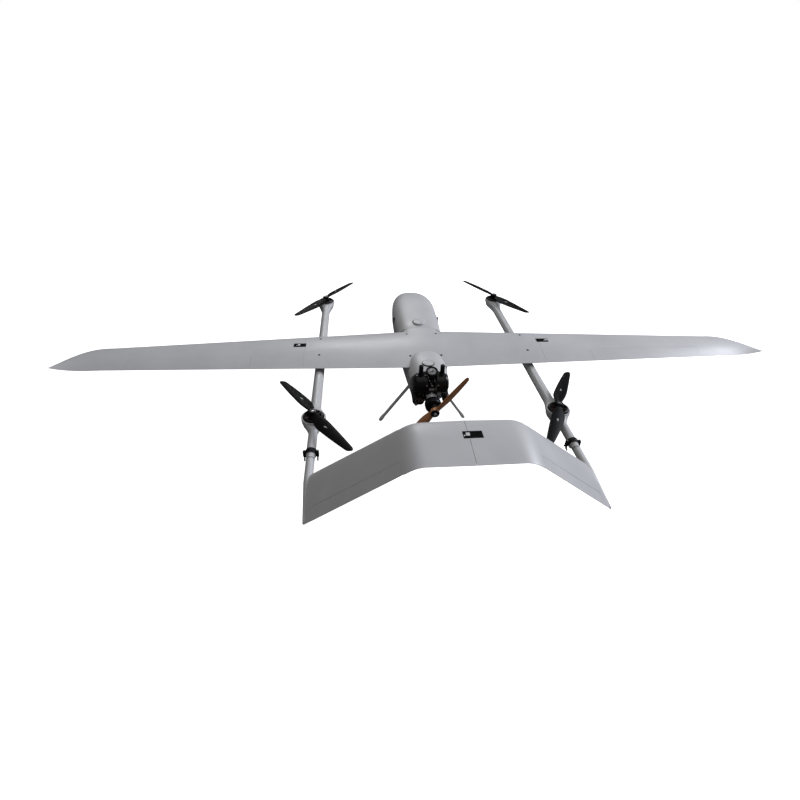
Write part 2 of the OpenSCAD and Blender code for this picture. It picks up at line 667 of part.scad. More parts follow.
module payload_plate() {
    color(metal) translate([0, plate_y, plate_z]) difference() {
        translate([-plate_size[0] / 2, -plate_size[1] / 2, 0]) cube(plate_size);
        for (x = [-30, 30], y = [-50, 50]) translate([x, y, -1]) cylinder(r = 2.2, h = 20, $fn = fine);
    }
}

// ---- Legs -------------------------------------------------------------------------------------
leg_chord = 21;
leg_t = 8;
leg_top_x = 53.5;
leg_top_z = 222;
leg_angle = atan2(foot_x - leg_top_x, leg_top_z);
socket_len = 22;

module leg(y) {
    intersection() {
        leg_frame(y, -10) stadium(leg_chord, leg_t, leg_len + 10);
        translate([0, y - 50, 0]) cube([400, 100, 400]);
    }
}
module front_left_leg() { color(white) on_side(-1) leg(front_leg_y); }
module front_right_leg() { color(white) leg(front_leg_y); }
module rear_left_leg() { color(white) on_side(-1) leg(rear_leg_y); }
module rear_right_leg() { color(white) leg(rear_leg_y); }

module leg_frame(y, from) {
    translate([foot_x, y, 0]) rotate([0, -leg_angle, 0]) translate([0, 0, from]) rotate([0, 0, 90]) children();
}
leg_len = leg_top_z / cos(leg_angle);

// Socket around the top of each leg, glued inside the lower shell
module leg_sockets() {
    color(black) for (side = [-1, 1], y = [front_leg_y, rear_leg_y]) on_side(side)
        leg_frame(y, leg_len - socket_len + 6) difference() {
            stadium(leg_chord + 8, leg_t + 8, socket_len);
            translate([0, 0, -0.1]) stadium(leg_chord + 0.1, leg_t + 0.1, socket_len - 5.9);
        }
}

// ---- Inside the fuselage ----------------------------------------------------------------------
floor_top_z = floor_z + skin_t;

// Box with rounded upright edges, standing on its own origin
module soft_box(size, r) {
    linear_extrude(height = size[2]) {
        square([size[0] - 2 * r, size[1]], center = true);
        square([size[0], size[1] - 2 * r], center = true);
        for (x = [-1, 1], y = [-1, 1]) translate([x * (size[0] / 2 - r), y * (size[1] / 2 - r)]) circle(r = r, $fn = fine);
    }
}

module fuel_tank() {
    color([0.9, 0.88, 0.8]) translate([0, 85, floor_top_z]) {
        soft_box([150, 190, 78], 18);
        translate([0, 60, 78]) cylinder(r = 16, h = 10, $fn = fine);
    }
}

module battery_packs() {
    color([0.15, 0.2, 0.4]) for (side = [-1, 1])
        translate([side * 40, 540, floor_top_z]) soft_box([68, 150, 52], 5);
}

module flight_controller() {
    color(black) translate([0, 385, floor_top_z]) {
        soft_box([70, 90, 26], 4);
        for (x = [-20, 0, 20]) translate([x - 7, 42, 6]) cube([14, 8, 10]);
    }
}

module servos() {
    body_x = servo_x + 7;
    color(black) for (side = [-1, 1]) on_side(side) {
        translate([body_x, servo_y - 8, hinge_z - 12]) cube([20, 30, 18]);
        translate([servo_x - 2, servo_y, hinge_z]) rod_x(servo_shaft_r, 10);
        fin_frame() translate([60, fin_servo_y, -5]) cube([28, 24, 10]);
    }
}

module wing_joiner_spars() {
    color(black) for (side = [-1, 1]) on_side(side) {
        translate([spar_inner_x, spar_y, spar_z]) difference() {
            rod_x(spar_r, spar_outer_x - spar_inner_x);
            translate([-1, 0, 0]) rod_x(spar_r - 1.5, spar_outer_x);
        }
        translate([rear_spar_inner_x, rear_spar_y, rear_spar_z])
            rod_x(rear_spar_r, rear_spar_outer_x - rear_spar_inner_x);
    }
}

// Cap screws through the wing into the booms and into the fuselage
module wing_screws() {
    color(black) for (side = [-1, 1]) on_side(side) for (p = screw_places) {
        root_top_z = max([for (q = wing_ring(root_blunt_x)) q[2]]);
        top_z = p[0] < 200 && p[1] > spar_y ? root_top_z : wing_skin_at(p[0], p[1], 1);
        bottom_z = p[0] > 200 ? boom_z + 12 : seam_z + 22;
        translate([p[0], p[1], bottom_z]) cylinder(r = screw_r - 0.05, h = top_z - bottom_z + 1, $fn = fine);
        translate([p[0], p[1], top_z + 0.8]) cylinder(r = 4.6, h = 1.2, $fn = fine);
    }
}

// Latch plates over the panel joints and over the joint of the tail halves
wing_latch = [571, 118];
tail_latch = [12, -816];
module latch_plate(x, y, size, front_z, back_z) {
    translate([x, y, (front_z + back_z) / 2 + 0.6]) rotate([atan2(front_z - back_z, size[1]), 0, 0])
        linear_extrude(height = 1.5) square(size, center = true);
}

module joint_latches() {
    size = [56, 30];
    function wing_top(y) = wing_skin_at(wing_latch[0], y, 1);
    chord = tail_centre_lead - tail_centre_trail;
    function tail_top(y) = tail_z + skin_z((tail_centre_lead - y) / chord, chord, tail_thick, 0, 0, 1);
    color(black) {
        for (side = [-1, 1]) on_side(side)
            latch_plate(wing_latch[0], wing_latch[1], size, wing_top(wing_latch[1] + 15), wing_top(wing_latch[1] - 15));
        latch_plate(tail_latch[0], tail_latch[1], size, tail_top(tail_latch[1] + 15), tail_top(tail_latch[1] - 15));
    }
}

// ---- Engine -----------------------------------------------------------------------------------
case_y = -200;
case_r = 30;
standoff_at = 38;
standoff_angles = [90, 238, 302];
standoff_r = 5;
lug_r = 8.5;
case_front_y = -150;
nose_case_r = 23;
hub_y = -290.8;
hub_r = 16;
drum_y = -265;
drum_len = 30;
drum_r = 34;
shaft_r = 6;
shaft_fit = 0.05;
// The two cylinders lean outwards from the crankcase, under the shrouds
cylinder_tilt = 42;
cylinder_r = 22;
cylinder_core_r = 15;
cylinder_from = 30.2;
cylinder_to = 76;
shroud_y = -165;
shroud_z = 333;
shroud_r = 42;
shroud_x = [19, 79];
shroud_round = 18;
bolt_r = 4;

module engine_mount() {
    ring = concat(arc(firewall_y, 0, 180, skin_t + 0.4), arc(firewall_y, 180, 360, skin_t + 0.4));
    color(metal) {
        translate([0, firewall_y + 6, 0]) rotate([90, 0, 0]) linear_extrude(height = 6)
            polygon([for (p = ring) [p[0], p[2]]]);
        for (a = standoff_angles) translate([standoff_at * cos(a), case_front_y, crank_z + standoff_at * sin(a)])
            rod_y(standoff_r, firewall_y - case_front_y + 0.5);
    }
}

module crankcase() {
    color(metal) difference() {
        union() {
            translate([0, case_y, crank_z]) rod_y(case_r, case_front_y - case_y);
            translate([0, drum_y + drum_len + 1, crank_z]) rod_y(nose_case_r, case_y - drum_y - drum_len);
            for (a = standoff_angles)
                translate([standoff_at * cos(a), case_front_y - 8.5, crank_z + standoff_at * sin(a)]) rod_y(lug_r, 8.5);
            for (a = [45 : 90 : 315]) translate([24 * cos(a), case_y - 24, crank_z + 24 * sin(a)]) rod_y(4, 25);
            translate([0, carb_y, crank_z]) linear_extrude(height = carb_bottom_z - crank_z - 0.1)
                square([22, 26], center = true);
        }
        translate([0, drum_y + drum_len, crank_z]) rod_y(shaft_r + shaft_fit, 82);
    }
}

module cylinders() {
    fins = 5;
    pitch = (cylinder_to - cylinder_from - 16) / fins;
    color(metal) for (side = [-1, 1]) on_side(side)
        translate([0, shroud_y, crank_z]) rotate([0, -cylinder_tilt, 0]) translate([cylinder_from, 0, 0]) {
            rod_x(cylinder_core_r, cylinder_to - cylinder_from);
            for (i = [0 : fins]) translate([14 + i * pitch, 0, 0]) rod_x(cylinder_r, i == fins ? 2 : pitch * 0.45);
        }
}

module shroud_body(grow) {
    length = shroud_x[1] - shroud_x[0] + grow;
    r = shroud_r + grow;
    round = shroud_round + grow;
    translate([shroud_x[0], shroud_y, shroud_z]) rotate([0, 90, 0]) rotate_extrude($fn = fine)
        intersection() {
            union() {
                square([r, length - round]);
                square([r - round, length]);
                translate([r - round, length - round]) circle(r = round, $fn = fine);
            }
            square([r, length]);
        }
}

module cylinder_shrouds() {
    color(black) for (side = [-1, 1]) on_side(side) difference() {
        shroud_body(0);
        shroud_body(-2.5);
        translate([0, shroud_y - 100, crank_z - 60]) cube([200, 200, 84]);
    }
}

// Large silencer under the left cylinder, small one under the right
module mufflers() {
    length = 84;
    color(black) {
        translate([-56, -128, 269]) rotate([90, 0, 0]) {
            stadium(50, 34, length);
            translate([-12, 0, length - 1]) difference() {
                cylinder(r = 7, h = 14, $fn = fine);
                translate([0, 0, 3]) cylinder(r = 5.5, h = 14, $fn = fine);
            }
            translate([9, 15, 40]) rotate([-90, 0, 0]) cylinder(r = 8, h = 8, $fn = fine);
        }
        translate([65, -140, 268]) rotate([90, 90, 0]) stadium(42, 30, 56);
        translate([50, -168, 284]) cylinder(r = 7, h = 9, $fn = fine);
    }
}

carb_y = -176;
carb_bottom_z = crank_z + 44;
lever_y = carb_y - 18;
lever_z = carb_bottom_z + 16;
module carburettor() {
    color(metal) difference() {
        union() {
            translate([0, carb_y, carb_bottom_z]) soft_box([30, 34, 34], 5);
            translate([0, carb_y + 8, carb_bottom_z + 33]) cylinder(r = 12, h = 18, $fn = fine);
            translate([0, lever_y - 3.5, lever_z]) rod_y(2, 6);
        }
        translate([0, carb_y + 8, carb_bottom_z + 20]) cylinder(r = 9, h = 40, $fn = fine);
    }
}

module throttle_lever() {
    color(metal) translate([0, lever_y - 2.4, lever_z]) rotate([90, 0, 0]) difference() {
        linear_extrude(height = 2) {
            circle(r = 4.5, $fn = fine);
            rotate(125) translate([6, 0]) square([12, 5], center = true);
            rotate(125) translate([12, 0]) circle(r = 2.5, $fn = fine);
        }
        translate([0, 0, -1]) cylinder(r = 2.05, h = 4, $fn = fine);
        rotate(125) translate([12, 0, -1]) cylinder(r = 0.9, h = 4, $fn = fine);
    }
}

filter_tilt = 18;
module air_filter() {
    color(black) translate([0, carb_y + 8, carb_bottom_z + 51.2]) {
        difference() {
            cylinder(r = 14, h = 4, $fn = fine);
            translate([0, 0, -1]) cylinder(r = 9, h = 10, $fn = fine);
        }
        translate([0, 8, 11]) rotate([filter_tilt, 0, 0]) translate([0, -4, -4]) difference() {
            cylinder(r = 25.5, h = 15, $fn = fine);
            translate([0, 0, 12]) cylinder(r = 22, h = 10, $fn = fine);
        }
    }
}

plug_x = 45;
plug_y = -160;
plug_r = 9.5;
module plug_caps() {
    color(black) for (side = [-1, 1]) on_side(side)
        translate([plug_x, plug_y, shroud_z + shroud_r + 0.2]) rotate_extrude($fn = fine)
            polygon([[0, 0], [plug_r + 1.5, 0], [plug_r + 1.5, 3], [plug_r, 5], [plug_r, 41],
                [plug_r - 1.5, 43.5], [0, 44]]);
}

module flywheel() {
    color(black) translate([0, drum_y, crank_z]) difference() {
        union() {
            rod_y(drum_r, drum_len);
            translate([0, hub_y - drum_y, 0]) rod_y(hub_r, drum_y - hub_y + 5);
            rod_y(shaft_r, drum_len + 78);
        }
        translate([0, hub_y - drum_y - 1, 0]) rod_y(bolt_r + 0.05, 21);
        for (a = [0 : 60 : 300]) translate([25 * cos(a), -1, 25 * sin(a)]) rod_y(4, 12);
    }
}

module prop_bolt() {
    hub_half = 9;
    color(metal) translate([0, pusher_y, crank_z]) {
        translate([0, -hub_half - 4, 0]) rod_y(18, 3.9);
        translate([0, -hub_half - 3, 0]) rod_y(bolt_r, 3 + 2 * hub_half + 16);
        translate([0, -hub_half - 9, 0]) rotate([-90, 0, 0]) cylinder(r = 7.5, h = 5.2, $fn = 6);
    }
}

// ---- Propellers -------------------------------------------------------------------------------
blade_points = 10;
blade_stations = [0, 0.08, 0.18, 0.3, 0.45, 0.6, 0.75, 0.88, 0.955, 0.985, 0.999];

// Widest at a third of the blade, narrower to the tip, and round at the very end
function blade_chord(q, root_c, max_c, tip_c) = let (end = q < 0.93 ? 1 : sqrt(1 - ((q - 0.93) / 0.07) ^ 2))
    end * (q < 0.3 ? root_c + (max_c - root_c) * sin(300 * q) : max_c + (tip_c - max_c) * ((q - 0.3) / 0.7) ^ 1.4);
function blade_section(x, chord, thick, pitch) = [for (i = [0 : blade_points - 1])
    let (a = 360 * i / blade_points, y = chord * (0.5 * cos(a) - 0.18), z = thick * 0.5 * sin(a) * (1 + 0.3 * cos(a)))
    [x, y * cos(pitch) - z * sin(pitch), y * sin(pitch) + z * cos(pitch)]];

// Two blades in the XY plane, turning about Z; hand 1 or -1 sets the direction it turns
module blades(radius, root_r, chords, thicks, pitches, hand) {
    for (turn = [0, 180]) rotate([0, 0, turn]) mirror([0, hand < 0 ? 1 : 0, 0])
        loft([for (q = blade_stations) blade_section(root_r + q * (radius - root_r),
            max(0.8, blade_chord(q, chords[0], chords[1], chords[2])), thicks[0] + (thicks[1] - thicks[0]) * q ^ 0.6,
            pitches[0] + (pitches[1] - pitches[0]) * q)]);
}

hub_h = 13;
module lift_prop(x, y, turn, hand) {
    color(black) translate([x, y, lift_prop_z]) rotate([0, 0, turn]) difference() {
        union() {
            blades(lift_prop_d / 2, 8, [18, 52, 24], [9, 1.8], [22, 7], hand);
            translate([0, 0, -hub_h / 2]) cylinder(r = 16, h = hub_h, $fn = fine);
        }
        translate([0, 0, -20]) cylinder(r = 4.05, h = 40, $fn = fine);
    }
}
module front_left_lift_prop() { lift_prop(-boom_x, front_motor_y, 55, -1); }
module front_right_lift_prop() { lift_prop(boom_x, front_motor_y, -59, 1); }
module rear_left_lift_prop() { lift_prop(-boom_x, rear_motor_y, -56, 1); }
module rear_right_lift_prop() { lift_prop(boom_x, rear_motor_y, 61, -1); }

module pusher_prop() {
    color(wood) translate([0, pusher_y, crank_z]) rotate([90, -54, 0]) difference() {
        union() {
            blades(pusher_d / 2, 17, [27, 34, 17], [15, 3], [38, 13], 1);
            translate([0, 0, -9]) cylinder(r = 19, h = 18, $fn = fine);
        }
        translate([0, 0, -20]) cylinder(r = bolt_r + 0.05, h = 40, $fn = fine);
    }
}

// ---- Lift motors ------------------------------------------------------------------------------
motor_places = [for (x = [-boom_x, boom_x], y = [front_motor_y, rear_motor_y]) [x, y]];
bell_z = [315, 343];
motor_shaft_r = 4;
module lift_motor_stators() {
    color(metal) for (p = motor_places) translate([p[0], p[1], pod_floor_z]) difference() {
        union() {
            cylinder(r = 31, h = 5, $fn = fine);
            cylinder(r = 12, h = 14, $fn = fine);
            translate([0, 0, 12]) cylinder(r = 32, h = 17.5, $fn = fine);
        }
        translate([0, 0, 3]) cylinder(r = motor_shaft_r + 0.05, h = 40, $fn = fine);
    }
}

module rotor(x, y) {
    color(black) translate([x, y, 0]) {
        difference() {
            translate([0, 0, bell_z[0]]) cylinder(r = bell_r, h = bell_z[1] - bell_z[0], $fn = fine);
            translate([0, 0, bell_z[0] - 1]) cylinder(r = 34, h = bell_z[1] - bell_z[0] - 3, $fn = fine);
            for (a = [0 : 60 : 300]) rotate(a) translate([24, 0, bell_z[1] - 6]) cylinder(r = 6.5, h = 10, $fn = fine);
        }
        translate([0, 0, bell_z[0] - 4]) cylinder(r = motor_shaft_r, h = lift_prop_z - bell_z[0] + 14, $fn = fine);
        translate([0, 0, bell_z[1] - 1]) cylinder(r = 12, h = lift_prop_z - hub_h / 2 - bell_z[1] + 0.9, $fn = fine);
        translate([0, 0, lift_prop_z + hub_h / 2 + 0.1]) cylinder(r = 13, h = 3.5, $fn = fine);
    }
}
module front_left_rotor() { rotor(-boom_x, front_motor_y); }
module front_right_rotor() { rotor(boom_x, front_motor_y); }
module rear_left_rotor() { rotor(-boom_x, rear_motor_y); }
module rear_right_rotor() { rotor(boom_x, rear_motor_y); }

lower_shell();
nose_cover();
wing_saddle();
engine_cowl();
round_caps();
side_vents();
pitot_tube();
centre_wing();
left_outer_wing();
right_outer_wing();
wing_joiner_spars();
wing_screws();
joint_latches();
hinge_pins();
servos();
left_boom();
right_boom();
left_tail_boom();
right_tail_boom();
boom_clamps();
left_tail_half();
right_tail_half();
front_left_leg();
front_right_leg();
rear_left_leg();
rear_right_leg();
leg_sockets();
engine_mount();
crankcase();
cylinders();
cylinder_shrouds();
mufflers();
carburettor();
air_filter();
plug_caps();
fuel_tank();
battery_packs();
flight_controller();
payload_plate();
lift_motor_stators();
throttle_lever();
flywheel();
pusher_prop();
prop_bolt();
front_left_rotor();
front_right_rotor();
rear_left_rotor();
rear_right_rotor();
front_left_lift_prop();
front_right_lift_prop();
rear_left_lift_prop();
rear_right_lift_prop();
left_aileron();
right_aileron();
left_ruddervator();
right_ruddervator();
left_servo_arm();
right_servo_arm();
left_pushrod();
right_pushrod();
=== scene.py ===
import bpy
import bmesh
import math
from mathutils import Matrix, Vector


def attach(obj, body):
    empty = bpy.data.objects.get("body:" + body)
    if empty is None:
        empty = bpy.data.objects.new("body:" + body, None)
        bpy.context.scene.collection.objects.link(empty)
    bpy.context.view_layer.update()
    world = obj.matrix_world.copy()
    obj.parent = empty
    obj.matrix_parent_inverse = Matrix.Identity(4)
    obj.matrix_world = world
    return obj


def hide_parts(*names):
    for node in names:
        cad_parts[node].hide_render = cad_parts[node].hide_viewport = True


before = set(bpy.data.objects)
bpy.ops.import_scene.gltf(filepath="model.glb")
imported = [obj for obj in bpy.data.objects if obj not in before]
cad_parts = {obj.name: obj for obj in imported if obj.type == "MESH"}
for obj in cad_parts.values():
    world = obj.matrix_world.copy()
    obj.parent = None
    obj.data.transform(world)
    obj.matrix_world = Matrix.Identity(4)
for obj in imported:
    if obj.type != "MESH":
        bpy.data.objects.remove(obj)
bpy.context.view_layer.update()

MM = 0.001
sin = lambda a: math.sin(math.radians(a))
cos = lambda a: math.cos(math.radians(a))
slope_of = lambda rise, run: math.degrees(math.atan2(rise, run))


def lerp(a, b, t):
    return a + (b - a) * t


def smooth_step(a, b, x):
    t = max(0.0, min(1.0, (x - a) / (b - a)))
    return t * t * (3 - 2 * t)


def linked(name, data):
    """New object in the scene."""
    ob = bpy.data.objects.new(name, data)
    bpy.context.scene.collection.objects.link(ob)
    return ob


# ---- Camera at the photograph's angle ------------------------------------------------------------
def add_camera():
    yaw, pitch, roll = 0.09839, 0.62931, -0.02724
    forward = Vector((math.sin(yaw) * math.cos(pitch), math.cos(yaw) * math.cos(pitch), -math.sin(pitch)))
    right = Vector((math.cos(yaw), -math.sin(yaw), 0))
    down = forward.cross(right)
    side = math.cos(roll) * right + math.sin(roll) * down
    below = -math.sin(roll) * right + math.cos(roll) * down
    camera = linked("camera", bpy.data.cameras.new("camera"))
    at = Vector((-0.29074, -1.78594, 1.43527))
    columns = (side, -below, -forward, at)
    camera.matrix_world = Matrix([[c[i] for c in columns] for i in range(3)] + [[0, 0, 0, 1]])
    camera.data.lens = 20.925
    camera.data.sensor_width = 36
    camera.data.clip_start = 0.01
    bpy.context.scene.camera = camera


# ---- Materials -----------------------------------------------------------------------------------
class Shader:
    """A Principled material, with a few helpers for its procedural nodes."""

    def __init__(self, name, **sockets):
        self.mat = bpy.data.materials.new(name)
        self.mat.use_nodes = True
        self.tree = self.mat.node_tree
        self.bsdf = self.tree.nodes["Principled BSDF"]
        for key, value in sockets.items():
            self.bsdf.inputs[key.replace("_", " ")].default_value = value
        self.coords = self.node("ShaderNodeTexCoord").outputs["Object"]

    def node(self, kind, **props):
        n = self.tree.nodes.new(kind)
        for key, value in props.items():
            setattr(n, key, value)
        return n

    def link(self, a, b):
        self.tree.links.new(a, b)

    def scaled(self, scale=(1, 1, 1), turn=(0, 0, 0)):
        m = self.node("ShaderNodeMapping")
        m.inputs["Scale"].default_value = scale
        m.inputs["Rotation"].default_value = [math.radians(t) for t in turn]
        self.link(self.coords, m.inputs["Vector"])
        return m.outputs["Vector"]

    def noise(self, scale, detail=3.0, rough=0.5, vector=None):
        n = self.node("ShaderNodeTexNoise")
        n.inputs["Scale"].default_value = scale
        n.inputs["Detail"].default_value = detail
        n.inputs["Roughness"].default_value = rough
        self.link(vector or self.coords, n.inputs["Vector"])
        return n.outputs["Fac"]

    def voronoi(self, scale, vector=None):
        n = self.node("ShaderNodeTexVoronoi")
        n.inputs["Scale"].default_value = scale
        self.link(vector or self.coords, n.inputs["Vector"])
        return n.outputs["Distance"]

    def wave(self, scale, distortion, vector=None, axis="X"):
        n = self.node("ShaderNodeTexWave", bands_direction=axis)
        n.inputs["Scale"].default_value = scale
        n.inputs["Distortion"].default_value = distortion
        n.inputs["Detail"].default_value = 3
        self.link(vector or self.coords, n.inputs["Vector"])
        return n.outputs["Fac"]

    def math(self, op, a, b, clamp=False):
        n = self.node("ShaderNodeMath", operation=op, use_clamp=clamp)
        for i, v in enumerate((a, b)):
            if isinstance(v, (int, float)):
                n.inputs[i].default_value = v
            else:
                self.link(v, n.inputs[i])
        return n.outputs[0]

    def ramp(self, fac, stops):
        n = self.node("ShaderNodeValToRGB")
        while len(n.color_ramp.elements) < len(stops):
            n.color_ramp.elements.new(0.5)
        for e, (pos, value) in zip(n.color_ramp.elements, stops):
            e.position = pos
            e.color = (value, value, value, 1) if isinstance(value, (int, float)) else (*value, 1)
        self.link(fac, n.inputs["Fac"])
        return n.outputs["Color"]

    def mix(self, fac, a, b, kind="MIX"):
        n = self.node("ShaderNodeMix", data_type="RGBA", blend_type=kind)
        for i, v in ((0, fac), (6, a), (7, b)):
            if isinstance(v, (int, float)):
                n.inputs[i].default_value = v
            elif isinstance(v, tuple):
                n.inputs[i].default_value = (*v, 1)
            else:
                self.link(v, n.inputs[i])
        return n.outputs[2]

    def colour(self, value):
        self.link(value, self.bsdf.inputs["Base Color"])

    def rough(self, value):
        self.link(value, self.bsdf.inputs["Roughness"])

    def bump(self, height, strength, distance=0.001):
        n = self.node("ShaderNodeBump")
        n.inputs["Strength"].default_value = strength
        n.inputs["Distance"].default_value = distance
        self.link(height, n.inputs["Height"])
        self.link(n.outputs["Normal"], self.bsdf.inputs["Normal"])


def paint(name, base, cloudy=0.05):
    """Sprayed white skin: faint clouds and dust, orange peel, and a soft clear coat."""
    s = Shader(name, Coat_Weight=0.3, Coat_Roughness=0.25, IOR=1.45)
    clouds = s.noise(3.1, 4, 0.6)
    smudge = s.noise(17, 6, 0.65, s.scaled((1, 0.35, 1)))
    darker = tuple(c * (1 - 2.4 * cloudy) for c in base)
    brighter = tuple(min(1, c * (1 + cloudy)) for c in base)
    tone = s.ramp(clouds, [(0.32, darker), (0.62, base), (0.8, brighter)])
    dust = s.ramp(smudge, [(0.55, 0.0), (0.78, 0.22)])
    s.colour(s.mix(dust, tone, tuple(c * 0.8 for c in base)))
    s.rough(s.ramp(s.noise(9, 5, 0.6), [(0.3, 0.36), (0.7, 0.5)]))
    s.bump(s.math("ADD", s.noise(650, 2), s.math("MULTIPLY", s.noise(28, 2), 1.5)), 0.09, 0.0006)
    return s.mat


def plastic(name, base, rough=0.5, grain=900, strength=0.25, shine=0.5):
    s = Shader(name, Specular_IOR_Level=shine)
    worn = s.noise(60, 6, 0.7)
    lighter = tuple(min(1, c * 1.45 + 0.003) for c in base)
    s.colour(s.ramp(worn, [(0.35, base), (0.75, lighter)]))
    s.rough(s.ramp(s.noise(40, 4), [(0.3, rough - 0.08), (0.7, rough + 0.14)]))
    s.bump(s.voronoi(grain), strength, 0.0003)
    return s.mat


def carbon(name, base=0.0065):
    """Twill weave of two tow directions under a clear resin coat."""
    s = Shader(name, Coat_Weight=0.01, Coat_Roughness=0.3, Specular_IOR_Level=0.06)
    warp = s.wave(170, 0.0, s.scaled(turn=(0, 0, 45)), "X")
    weft = s.wave(170, 0.0, s.scaled(turn=(0, 0, 45)), "Y")
    weave = s.math("MULTIPLY", warp, weft)
    cloudy = s.noise(30, 4)
    tone = s.ramp(weave, [(0.1, (base * 0.55,) * 3), (0.7, (base * 1.7, base * 1.7, base * 1.85))])
    s.colour(s.mix(s.ramp(cloudy, [(0.4, 0.0), (0.8, 0.4)]), tone, (base * 2, base * 2, base * 2.1)))
    s.rough(s.ramp(weave, [(0.2, 0.42), (0.8, 0.6)]))
    s.bump(weave, 0.18, 0.0003)
    return s.mat


def metal(name, base, rough=0.35, cast=False, streaks=(1, 1, 1), metallic=1.0):
    s = Shader(name, Metallic=metallic)
    stain = s.noise(45, 6, 0.7)
    dark = tuple(c * 0.62 for c in base)
    s.colour(s.ramp(stain, [(0.3, dark), (0.55, base), (0.8, tuple(min(1, c * 1.12) for c in base))]))
    if cast:
        s.rough(s.ramp(s.noise(90, 4), [(0.3, rough), (0.7, rough + 0.25)]))
        s.bump(s.noise(420, 4, 0.6), 0.5, 0.0005)
    else:
        brushed = s.noise(380, 3, 0.6, s.scaled(streaks))
        s.rough(s.ramp(brushed, [(0.3, rough - 0.1), (0.7, rough + 0.12)]))
        s.bump(brushed, 0.12, 0.0002)
    return s.mat


def varnished_wood(name):
    """Beech laminations glued across the hub, stained and varnished, with darker bands along the plies."""
    s = Shader(name, Coat_Weight=0.7, Coat_Roughness=0.16)
    along = s.scaled((1.0, 14.0, 1.0), (0, 54, 0))
    grain = s.noise(52, 8, 0.65, along)
    plies = s.wave(62, 0.6, axis="Y")
    tone = s.ramp(grain, [(0.25, (0.33, 0.12, 0.04)), (0.5, (0.66, 0.28, 0.10)), (0.8, (0.80, 0.40, 0.17))])
    s.colour(s.mix(s.ramp(plies, [(0.45, 0.0), (0.5, 0.38)]), tone, (0.36, 0.135, 0.05)))
    s.rough(s.ramp(grain, [(0.3, 0.28), (0.8, 0.44)]))
    s.bump(grain, 0.12, 0.0004)
    return s.mat


def heat_tint_and_reflection(name):
    """Muffler steel in black heat paint with brown patches at random: partly heat tint, partly a painted
    reflection of the wooden propeller.
    """
    s = Shader(name, Metallic=0.55)
    tint_and_reflection_mask = s.noise(22, 5, 0.65)
    # Brown end of the ramp: painted reflection of the wooden propeller mixed with heat tint.
    s.colour(s.ramp(tint_and_reflection_mask, [(0.3, (0.012, 0.011, 0.011)), (0.6, (0.03, 0.021, 0.018)),
                           (0.85, (0.075, 0.034, 0.02))]))
    s.rough(s.ramp(s.noise(70, 4), [(0.3, 0.3), (0.7, 0.55)]))
    s.bump(s.noise(300, 4), 0.3, 0.0004)
    return s.mat


def floor_surface(name):
    """Pale studio floor that stays bright in the picture and throws little light upwards."""
    m = bpy.data.materials.new(name)
    m.use_nodes = True
    t = m.node_tree
    out, bsdf = t.nodes["Material Output"], t.nodes["Principled BSDF"]
    noise = t.nodes.new("ShaderNodeTexNoise")
    noise.inputs["Scale"].default_value = 1.5
    ramp = t.nodes.new("ShaderNodeValToRGB")
    ramp.color_ramp.elements[0].color = (0.84, 0.84, 0.845, 1)
    ramp.color_ramp.elements[1].color = (0.88, 0.88, 0.88, 1)
    t.links.new(noise.outputs["Fac"], ramp.inputs["Fac"])
    path = t.nodes.new("ShaderNodeLightPath")
    dim = t.nodes.new("ShaderNodeMix")
    dim.data_type = "RGBA"
    dim.inputs[6].default_value = (0.09, 0.09, 0.09, 1)
    t.links.new(path.outputs["Is Camera Ray"], dim.inputs[0])
    t.links.new(ramp.outputs["Color"], dim.inputs[7])
    t.links.new(dim.outputs[2], bsdf.inputs["Base Color"])
    bsdf.inputs["Roughness"].default_value = 0.9
    glow = t.nodes.new("ShaderNodeMath")
    glow.operation = "MULTIPLY"
    glow.inputs[1].default_value = FLOOR_GLOW
    t.links.new(path.outputs["Is Camera Ray"], glow.inputs[0])
    t.links.new(glow.outputs[0], bsdf.inputs["Emission Strength"])
    bsdf.inputs["Emission Color"].default_value = (1, 1, 1, 1)
    t.links.new(bsdf.outputs[0], out.inputs["Surface"])
    return m


FLOOR_GLOW = 0.97
WHITE = (0.60, 0.60, 0.61)

PAINT = paint("white_paint", WHITE)
PAINT_BOOM = paint("boom_paint", (0.58, 0.58, 0.585), 0.035)
PALE = plastic("pale_shoe", (0.72, 0.72, 0.71), 0.6)
# Lighter copy of the white paint for the legs: painted light, making up for the wing's shade and the little
# light the floor throws up.
LEG_PAINT_PAINTED_LIGHT = paint("leg_paint_painted_light", (0.82, 0.82, 0.82), 0.03)
BLACK = plastic("black_plastic", (0.005, 0.005, 0.0055), shine=0.15)
GLOSS = plastic("gloss_black_shroud", (0.004, 0.0035, 0.0035), 0.2, 300, 0.06, shine=0.3)
LATCH = plastic("latch_plastic", (0.003, 0.003, 0.003), 0.62, 900, 0.2, shine=0.05)
RUBBER = plastic("rubber", (0.014, 0.014, 0.014), 0.72, 1500, 0.4)
CARBON = carbon("carbon_fibre")
BLACK_METAL = metal("black_anodised", (0.013, 0.013, 0.015), 0.38, metallic=0.6)
STEEL = metal("satin_steel", (0.58, 0.59, 0.61), 0.3, streaks=(1, 9, 1), metallic=0.75)
CAST = metal("cast_aluminium", (0.74, 0.75, 0.77), 0.34, cast=True, metallic=0.55)
TURNED = metal("turned_aluminium", (0.72, 0.73, 0.75), 0.26, streaks=(12, 1, 12), metallic=0.7)
WOOD = varnished_wood("varnished_wood")
HOT_TINT_AND_REFLECTION = heat_tint_and_reflection("heat_paint_with_painted_reflection")
COPPER = metal("copper_wire", (0.16, 0.055, 0.028), 0.45, streaks=(1, 1, 8))
GUN = metal("gunmetal_cap", (0.30, 0.30, 0.31), 0.3, streaks=(1, 1, 6))
TANK = plastic("tank_plastic", (0.62, 0.59, 0.50), 0.45, 200, 0.1)
WRAP = plastic("battery_wrap", (0.02, 0.05, 0.2), 0.3, 120, 0.12)
MARK = plastic("pale_mark", (0.55, 0.55, 0.56), 0.45, 900, 0.1)


